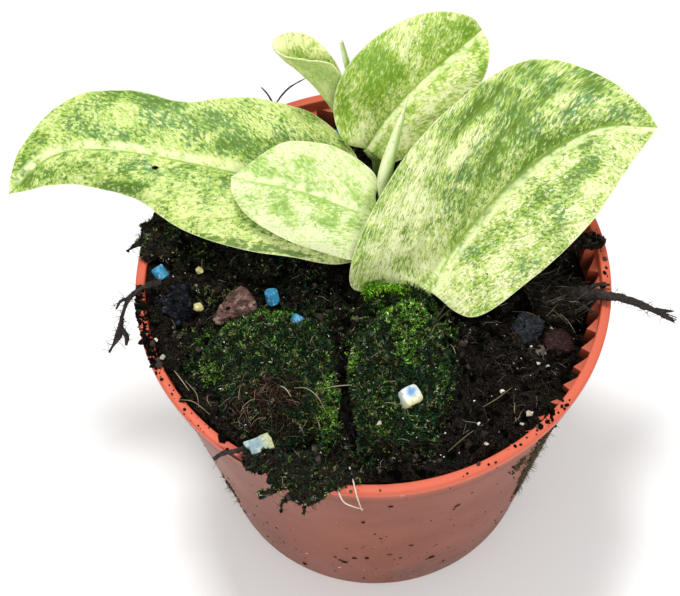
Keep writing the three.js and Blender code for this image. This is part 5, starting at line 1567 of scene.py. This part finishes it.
# Places on a blade are (along, across). A fold is a line of them, a height and a width. A mark is
# a kind of spots, its two ends, a width and a strength.
LEAVES = {
    "leaf_left_large": {
        "stalk": [(2.4, 6.6, 101), (3.4, 8.5, 100.9), (4.8, 10.8, 101), (4, 12.5, 101)],
        "midrib": [
            (4, 12.5, 101), (-7.5, 17.5, 104), (-36, 23, 112), (-67, 29, 115), (-80.5, 31, 110),
            (-92.5, 27, 100),
        ],
        "left": [
            (4, 12.5, 101), (1, 4.5, 100), (-8, 1, 100), (-20.5, 2.5, 102), (-32.5, 3.5, 105),
            (-46.5, 8.5, 107), (-58, 17.5, 108), (-69.6, 23, 107), (-80, 25.4, 105.3), (-88, 26, 102.2),
            (-92.5, 27, 100),
        ],
        "right": [
            (4, 12.5, 101), (0, 21, 103), (-3.5, 31, 106), (-14, 39.5, 112), (-30.5, 41.5, 117),
            (-45.5, 39.5, 119), (-60.5, 44, 119), (-75, 44.5, 116), (-88, 35.5, 109), (-92, 28.5, 103),
            (-92.5, 27, 100),
        ],
        "arch": 1.6, "lean": (3.2, 1.5), "curl": (0, 0.01), "pleats": (0.2, 9.5),
        "folds": [
            ([(0.2, -0.55), (0.35, -0.5), (0.5, -0.52), (0.62, -0.5)], -0.35, 1.8),
            ([(0.3, 0.3), (0.45, 0.55), (0.56, 0.85)], -0.3, 2),
            ([(0.55, 0.2), (0.68, 0.5), (0.74, 0.85)], -0.3, 2),
        ],
        "marks": [
            ("deep", (0.76, 0.45), (0.72, 0.28), 2.4, 1), ("deep", (0.72, 0.28), (0.66, 0.21), 1.8, 1),
            ("deep", (0.75, 0.78), (0.7, 0.7), 1.6, 0.8), ("deep", (0.6, 0.68), (0.57, 0.6), 1.9, 1),
            ("deep", (0.56, 0.65), (0.52, 0.6), 2.6, 1.1), ("deep", (0.52, 0.52), (0.49, 0.35), 2, 0.9),
            ("deep", (0.46, 0.62), (0.41, 0.45), 2.6, 1), ("deep", (0.34, 0.72), (0.28, 0.58), 2.6, 1),
            ("deep", (0.67, -0.38), (0.62, -0.2), 0.9, 1.2), ("deep", (0.62, -0.2), (0.58, -0.24), 1.3, 1),
            ("grass", (0.74, -0.88), (0.66, -0.74), 1.4, 1.4),
            ("olive", (0.8, -0.97), (0.73, -0.86), 0.8, 1.1),
            ("olive", (0.73, -0.86), (0.62, -0.6), 0.9, 1.2), ("deep", (0.65, -0.66), (0.6, -0.58), 1, 1.2),
            ("grass", (0.68, 0.98), (0.55, 0.93), 2.2, 1.3), ("olive", (0.66, 0.98), (0.56, 0.94), 1, 0.8),
            ("olive", (0.51, -0.5), (0.49, -0.56), 0.9, 1.1),
            ("olive", (0.485, -0.42), (0.46, -0.46), 0.8, 1.1),
            ("olive", (0.48, -0.97), (0.4, -0.95), 0.9, 1.9),
            ("olive", (0.4, -0.95), (0.33, -0.92), 1.1, 1.9),
            ("olive", (0.33, -0.92), (0.25, -0.94), 0.8, 1.9),
            ("olive", (0.95, -0.1), (0.76, -0.4), 0.7, 0.7),
            ("olive", (0.9, -0.4), (0.78, -0.7), 0.6, 0.7), ("olive", (0.48, 0.78), (0.42, 0.7), 0.9, 0.8),
            ("grass", (0.95, 0.2), (0.86, 0.6), 2.4, 0.7), ("grass", (0.42, 0.3), (0.3, 0.3), 2.2, 0.8),
            ("olive", (0.3, 0.35), (0.38, 0.55), 1.2, 0.7), ("grass", (0.5, -0.2), (0.3, -0.3), 2.4, 0.7),
            ("olive", (0.3, -0.5), (0.2, -0.8), 0.8, 0.9), ("grass", (0.24, 0.5), (0.14, 0.7), 3, 0.7),
            ("pale", (0.5, 0.14), (0.88, 0.16), 2, 1), ("pale", (0.65, 0.5), (0.63, 0.85), 2.2, 1),
            ("pale", (0.6, -0.85), (0.5, -0.75), 3, 0.9), ("pale", (0.4, 0.9), (0.3, 0.97), 2, 0.7),
            ("pale", (0.2, -0.98), (0.45, -0.85), 1.6, 0.8), ("pale", (0.25, 0.1), (0.5, 0.1), 1.4, 0.8),
        ],
    },
    "leaf_left_small": {
        "stalk": [(2.3, 8.6, 104), (3.2, 8.4, 105.6), (3.9, 8.8, 106.6), (3, 9, 106.8)],
        "midrib": [(3, 9, 106.8), (-5, 10.5, 110.5), (-17, 14, 114), (-34, 18, 115.5)],
        "left": [
            (3, 9, 106.8), (2, 2, 104), (-3, -0.5, 103.5), (-13, 1.5, 105.5), (-23.5, 5, 108.5),
            (-31, 9.5, 112), (-34, 14, 115), (-34, 18, 115.5),
        ],
        "right": [
            (3, 9, 106.8), (1.5, 13.5, 109), (2, 18.5, 111.5), (-1.5, 22.5, 113), (-9.5, 26, 116),
            (-20.5, 26, 118), (-34, 18, 115.5),
        ],
        "arch": 1.1, "lean": (2.4, 1.9), "curl": (0.02, 0.02), "pleats": (0.1, 7), "folds": [],
        "marks": [
            ("grass", (0.95, 0.44), (0.83, 0.7), 1.6, 0.9), ("grass", (0.86, 0.2), (0.66, 0.12), 1.8, 0.9),
            ("grass", (0.66, -0.45), (0.6, -0.6), 1.7, 1.1), ("grass", (0.6, 0.02), (0.4, 0.05), 1.4, 0.8),
            ("grass", (0.6, 0.57), (0.52, 0.5), 1.6, 1), ("grass", (0.43, -0.43), (0.36, -0.36), 1.5, 1),
            ("grass", (0.32, 0.52), (0.26, 0.42), 1.4, 0.9),
            ("grass", (0.26, -0.34), (0.2, -0.28), 1.2, 0.8),
            ("olive", (0.62, 0.08), (0.54, 0.08), 0.8, 0.6),
            ("olive", (0.08, -0.03), (0.45, -0.03), 0.5, 0.5),
            # The thin olive line along the lower margin is a painted shadow line.
            ("olive", (0.8, -0.98), (0.2, -0.98), 0.4, 0.5), ("pale", (0.35, -0.75), (0.65, -0.9), 5, 1),
            ("pale", (0.92, 0.1), (0.95, -0.3), 4, 1), ("pale", (0.3, 0.8), (0.6, 0.9), 4, 1),
        ],
    },
    "leaf_right_large": {
        "stalk": [(3.9, 2.4, 92.6), (6.5, -0.4, 92.6), (10.5, -3, 93.1), (14.5, -4.5, 93.5)],
        "midrib": [
            (14.5, -4.5, 93.5), (23, 5.5, 101.5), (41.5, 19.5, 112.5), (58, 26, 118), (72.5, 25.5, 118),
        ],
        "left": [
            (14.5, -4.5, 93.5), (3.6, -5, 94.3), (-5, -4.3, 96.6), (-5, -2.5, 107), (5.5, 11, 123),
            (20, 24.5, 131), (41, 38, 131.5), (58, 36, 127), (69.5, 29, 121), (72.5, 25.5, 118),
        ],
        "right": [
            (14.5, -4.5, 93.5), (24, -12, 93), (38.5, -6, 99), (53.5, 3.5, 108.5), (65, 17, 115),
            (72.5, 25.5, 118),
        ],
        "arch": 1.8, "lean": (0.9, 2.2), "curl": (0.035, 0), "pleats": (0.24, 7.2),
        "folds": [
            (
                [(0.42, -0.67), (0.49, -0.76), (0.55, -0.79), (0.61, -0.81), (0.67, -0.87), (0.71, -0.95)],
                -0.9, 1.3,
            ),
            (
                [(0.06, -0.3), (0.12, -0.13), (0.2, -0.1), (0.3, -0.12), (0.41, -0.26), (0.5, -0.37)],
                -1.05, 1.2,
            ),
            ([(0.5, -0.37), (0.57, -0.46), (0.66, -0.49), (0.71, -0.54), (0.8, -0.62)], -1.0, 1.3),
            ([(0.45, -0.6), (0.56, -0.67), (0.63, -0.71), (0.7, -0.74)], 0.4, 1.6),
            ([(0.39, -0.17), (0.53, -0.22), (0.65, -0.38), (0.76, -0.45)], 0.4, 1.6),
            ([(0.15, -0.03), (0.4, -0.03), (0.6, -0.03), (0.85, -0.02)], -0.75, 1.1),
            ([(0.06, -0.5), (0.18, -0.47), (0.3, -0.43)], -0.4, 1.2),
            ([(0.25, 0.6), (0.36, 0.78), (0.47, 0.9)], -0.35, 1.3),
            ([(0.43, 0.38), (0.55, 0.52), (0.66, 0.65)], -0.3, 1.3),
        ],
        "marks": [
            ("deep", (0.82, -0.58), (0.79, -0.45), 2, 1.2), ("deep", (0.79, -0.45), (0.73, -0.25), 2, 1.3),
            ("deep", (0.65, -0.42), (0.63, -0.32), 1.9, 1.1), ("deep", (0.74, -0.68), (0.7, -0.56), 2, 0.9),
            ("deep", (0.53, -0.62), (0.5, -0.56), 1.6, 1), ("deep", (0.6, -0.64), (0.58, -0.62), 1, 0.9),
            ("deep", (0.45, -0.52), (0.43, -0.47), 1.8, 1), ("deep", (0.38, -0.47), (0.34, -0.38), 2.2, 0.8),
            ("deep", (0.56, 0.7), (0.55, 0.6), 1.4, 1.2), ("deep", (0.86, -0.25), (0.9, -0.4), 1.6, 0.8),
            ("deep", (0.25, 0.25), (0.19, 0.16), 1.4, 0.9), ("deep", (0.4, 0.87), (0.37, 0.84), 1.2, 1),
            ("olive", (0.64, -0.2), (0.57, -0.03), 1, 1.3), ("grass", (0.64, -0.2), (0.5, -0.03), 1.4, 1),
            ("olive", (0.54, -0.45), (0.47, -0.34), 1.1, 1.2),
            ("grass", (0.62, -0.52), (0.45, -0.3), 2.4, 1),
            ("olive", (0.58, -0.86), (0.5, -0.78), 1.1, 1.2), ("olive", (0.66, -0.84), (0.6, -0.82), 1.2, 1),
            ("olive", (0.3, -0.68), (0.27, -0.66), 0.7, 1), ("olive", (0.45, -0.72), (0.4, -0.68), 0.8, 0.9),
            ("grass", (0.72, -0.88), (0.56, -0.84), 2.2, 1), ("grass", (0.86, -0.85), (0.78, -0.88), 2, 0.7),
            ("grass", (0.7, -0.62), (0.6, -0.55), 2, 0.8), ("grass", (0.66, -0.1), (0.82, -0.12), 1.8, 0.9),
            ("olive", (0.3, -0.05), (0.6, -0.05), 0.8, 0.8), ("olive", (0.6, -0.05), (0.9, -0.04), 0.6, 0.8),
            ("olive", (0.57, 0.2), (0.55, 0.16), 0.6, 0.9), ("grass", (0.62, 0.45), (0.72, 0.5), 1.8, 0.9),
            ("grass", (0.44, 0.3), (0.52, 0.36), 1.5, 0.8), ("grass", (0.25, 0.25), (0.36, 0.35), 2.2, 0.6),
            ("olive", (0.76, 0.2), (0.68, 0.18), 0.8, 0.8), ("olive", (0.82, 0.5), (0.78, 0.42), 0.7, 0.8),
            ("olive", (0.66, 0.42), (0.62, 0.46), 0.7, 0.7), ("grass", (0.1, -0.97), (0.15, -0.9), 1.4, 0.7),
            ("pale", (0.1, 0.15), (0.7, 0.12), 2.4, 1), ("pale", (0.6, 0.88), (0.85, 0.8), 4, 1),
            ("pale", (0.3, 0.62), (0.5, 0.5), 3, 0.7), ("pale", (0.7, -0.42), (0.74, -0.5), 1.8, 1),
            ("pale", (0.54, -0.7), (0.45, -0.64), 1.6, 1), ("pale", (0.45, -0.9), (0.3, -0.9), 2.4, 0.8),
            # The wide pale mark at the foot of the left half is partly the blade's pale ground and partly
            # painted light.
            ("pale", (0.45, -0.15), (0.36, -0.08), 1.8, 0.6), ("pale", (0.06, -0.4), (0.28, -0.6), 8, 1.2),
        ],
    },
    "leaf_back": {
        "stalk": [(3.4, 32, 102), (2.4, 31.4, 103), (1.2, 31, 105), (0, 31.5, 106.5)],
        "midrib": [(0, 31.5, 106.5), (5, 35, 113), (13, 40, 120), (30, 49.5, 130)],
        "left": [
            (0, 31.5, 106.5), (-5.5, 31.5, 110), (-8, 36.5, 116), (-5, 40, 127.5), (4.5, 46.3, 134),
            (17, 50.3, 136.5), (27, 50, 134.5), (30, 49.5, 130),
        ],
        "right": [
            (0, 31.5, 106.5), (6, 26.5, 107), (14.5, 28, 112), (25, 33.5, 120), (30.5, 39.5, 125.5),
            (31.5, 45, 129), (30, 49.5, 130),
        ],
        "arch": 1.3, "lean": (1.2, 2.2), "curl": (0.03, 0), "pleats": (0.1, 6), "folds": [],
        "marks": [
            ("grass", (0.46, -0.95), (0.5, -0.72), 2.4, 1.1),
            ("grass", (0.5, -0.72), (0.48, -0.42), 2.8, 1.1),
            ("grass", (0.31, -0.55), (0.4, -0.6), 2.4, 0.9),
            ("grass", (0.36, -0.92), (0.23, -0.79), 1.8, 0.8),
            ("olive", (0.52, -0.4), (0.46, -0.46), 1, 0.9), ("olive", (0.5, -0.9), (0.44, -0.8), 1, 0.8),
            ("grass", (0.9, -0.35), (0.86, 0.4), 1.6, 1), ("grass", (0.86, 0.4), (0.81, 0.95), 1.6, 0.9),
            ("grass", (0.74, -0.68), (0.7, -0.5), 1.8, 0.8), ("grass", (0.38, 0.26), (0.34, 0.2), 1.6, 0.9),
            ("grass", (0.74, 0.07), (0.66, 0.15), 1.6, 0.7),
            ("olive", (0.2, -0.02), (0.85, -0.02), 0.5, 0.7),
            ("olive", (0.08, -0.1), (0.16, -0.2), 0.9, 0.9), ("grass", (0.12, -0.85), (0.2, -0.7), 2, 0.6),
            ("pale", (0.2, 0.4), (0.8, 0.6), 4, 0.9), ("pale", (0.62, -0.35), (0.58, -0.3), 0.8, 1),
            ("pale", (0.6, -0.85), (0.75, -0.85), 2.5, 0.8), ("pale", (0.1, -0.6), (0.14, -0.3), 2.5, 0.8),
        ],
    },
    "leaf_back_curled": {
        "stalk": [(2.9, 33, 102.4), (0.6, 35.6, 103.2), (-2, 37.3, 105), (-4.5, 38, 107)],
        "midrib": [(-4.5, 38, 107), (-7.5, 40.5, 113), (-12, 43.5, 119), (-22, 46, 130)],
        "left": [
            (-4.5, 38, 107), (-4.8, 40.5, 122), (-8, 41.5, 129), (-14.5, 40.5, 132), (-19.5, 42, 132),
            (-22, 46, 130),
        ],
        "right": [
            (-4.5, 38, 107), (-5.5, 46, 118), (-9, 47.5, 127), (-14.5, 49, 132), (-20.5, 48, 133),
            (-22.5, 47, 131.5), (-22, 46, 130),
        ],
        "arch": 0.5, "lean": (1.6, 1.6), "curl": (0.02, 0.02), "pleats": (0.06, 6), "folds": [],
        "marks": [
            ("grass", (0.5, -0.6), (0.7, -0.4), 2.5, 0.7), ("grass", (0.5, 0.6), (0.75, 0.5), 2.5, 0.7),
            ("olive", (0.2, 0), (0.9, 0), 0.6, 0.6), ("pale", (0.9, 0.5), (0.95, -0.4), 2, 0.7),
        ],
    },
}
leaf("blade_left_large", "leaf_left_large", LEAVES["leaf_left_large"], marbled_leaf, "leaf", 130, 30)
leaf("blade_left_small", "leaf_left_small", LEAVES["leaf_left_small"], pale_leaf, "pale_leaf", 80, 24)
leaf("blade_right_large", "leaf_right_large", LEAVES["leaf_right_large"], folded_leaf, "leaf", 130, 38)
leaf("blade_back", "leaf_back", LEAVES["leaf_back"], green_leaf, "leaf", 80, 24)
leaf("blade_back_curled", "leaf_back_curled", LEAVES["leaf_back_curled"], young_leaf, "leaf", 70, 18)

# Grit that has dropped on the blades: leaf, place along and across, and size
GRIT = [("leaf_left_large", 0.58, -0.22, 0.72), ("leaf_right_large", 0.25, 0.6, 0.2)]
spots = [blade_place(LEAVES[name], np.array([u]), np.array([v]))[0] for name, u, v, size in GRIT]
spots = np.concatenate(spots)
sizes = np.array([size for *_, size in GRIT])
crumbs("leaf_grit", spots + (0, -0.1, 0.4), sizes, stained(["#0a0705"], 2, 0), "potting_mix", crumb)


# Two young leaves are still rolled up into spears, cream on one side and green on the other, each
# with the edge of the roll winding up along it and a hair-thin tip.
SPEARS = {
    "spear": (
        [(4.4, 13, 106.5), (4, 14.7, 117), (6.5, 18, 128), (9.3, 21, 138), (9.8, 21.6, 140.5)],
        (1.5, 1.85, 2.1, 2, 1.8, 1.5, 1.2, 0.9, 0.2, 0.1),
    ),
    "tip_back": (
        [(1.2, 36.5, 105), (-1.5, 40, 114), (-4, 43.4, 126), (-5.3, 44.8, 133.4)],
        (1, 1.1, 1.1, 1.05, 1, 0.9, 0.75, 0.5),
    ),
}
SPEAR_STEPS, SPEAR_SIDES = 110, 36
roll = Finish("rolled leaf", "#eef6c4", roughness=0.4, specular=0.45)
roll.mottle("#dcee9c", 3, 0.4, 0.65, 0.7, stretch=(1, 1, 0.4))
roll.paint(roll.value("green"), "#94b658")
roll.mottle("#8fb552", 0.7, 0.6, 0.7, 0.6, detail=3, stretch=(1, 1, 0.4))
roll.grain(roll.noise(0.6, stretch=(1, 1, 0.3)), 0.04)
for name, (path, radii) in SPEARS.items():
    shares = np.linspace(0, 1, SPEAR_STEPS + 1)
    line = smooth_path(path, shares)
    thick = np.interp(shares, np.linspace(0, 1, len(radii)), radii)
    points, faces = tubes(line[None], thick[None], SPEAR_SIDES, (1, 0.3, 0))
    middle = np.repeat(line, SPEAR_SIDES, axis=0)
    wind = np.tile(np.arange(SPEAR_SIDES) / SPEAR_SIDES, len(line)) + np.repeat(0.35 * shares, SPEAR_SIDES)
    wind = (wind + 0.3) % 1
    points = middle + (points - middle) * (0.86 + 0.16 * wind)[:, None]
    green = np.clip(0.5 + 0.9 * (points - middle)[:, 0] / np.repeat(thick, SPEAR_SIDES), 0, 0.85)
    fit(make(name + "_roll", points, faces, roll, crease=50, green=green), "pale_leaf", name)


# The pot stands on a plain pale floor in soft studio light. The broad key light comes from behind
# the pot and above, so that its front wall is in shade, and the camera looks down on the mix.
FLOOR_SIZE = 6000
white = Finish("pale floor", "#f4f4f2", roughness=0.8, specular=0.2)
white.mottle("#efefed", 300, 0.3, 0.7, 0.2)
corners = [(-1, -1, 0), (1, -1, 0), (1, 1, 0), (-1, 1, 0)]
floor = make("floor", np.array(corners) * FLOOR_SIZE / 2, [(0, 1, 2, 3)], white)
floor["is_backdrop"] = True

sky = bpy.data.worlds.new("studio")
sky.use_nodes = True
sky.node_tree.nodes["Background"].inputs["Color"].default_value = (0.97, 0.98, 1, 1)
sky.node_tree.nodes["Background"].inputs["Strength"].default_value = 0.6
bpy.context.scene.world = sky


def soft_light(name, place, target, size, power):
    lamp = bpy.data.lights.new(name, "AREA")
    lamp.size = size
    lamp.energy = power
    light = bpy.data.objects.new(name, lamp)
    light.location = place
    light.rotation_euler = (Vector(target) - Vector(place)).to_track_quat("-Z", "Y").to_euler()
    bpy.context.scene.collection.objects.link(light)


soft_light("key_light", (-0.12, 0.25, 1.2), (0, 0, 0.1), 0.22, 8.6)
soft_light("front_light", (0.2, -1.15, 1.05), (0, 0, 0.1), 0.6, 10.5)

CAMERA_LIFT = 58.552  # degrees above the horizon
CAMERA_ROLL = -2.56
CAMERA_TARGET = Vector((-0.008463, -0.005885, 0.095))
CAMERA_DISTANCE = 0.435432
CAMERA_LENS = 92.01
lift = math.radians(CAMERA_LIFT)
back = Vector((0, -math.cos(lift), math.sin(lift)))
camera = bpy.data.objects.new("camera", bpy.data.cameras.new("camera"))
camera.data.sensor_width = 36
camera.data.lens = CAMERA_LENS
camera.data.clip_start = 0.01
camera.location = CAMERA_TARGET + back * CAMERA_DISTANCE
level_turn = back.to_track_quat("Z", "Y").to_matrix()
camera.rotation_euler = (level_turn @ Matrix.Rotation(math.radians(CAMERA_ROLL), 3, "Z")).to_euler()
bpy.context.scene.collection.objects.link(camera)
bpy.context.scene.camera = camera
bpy.context.scene.view_settings.view_transform = "Standard"

sizes = {"cad": [list(corner) for corner in cad_box], "visual": [list(corner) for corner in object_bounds()]}
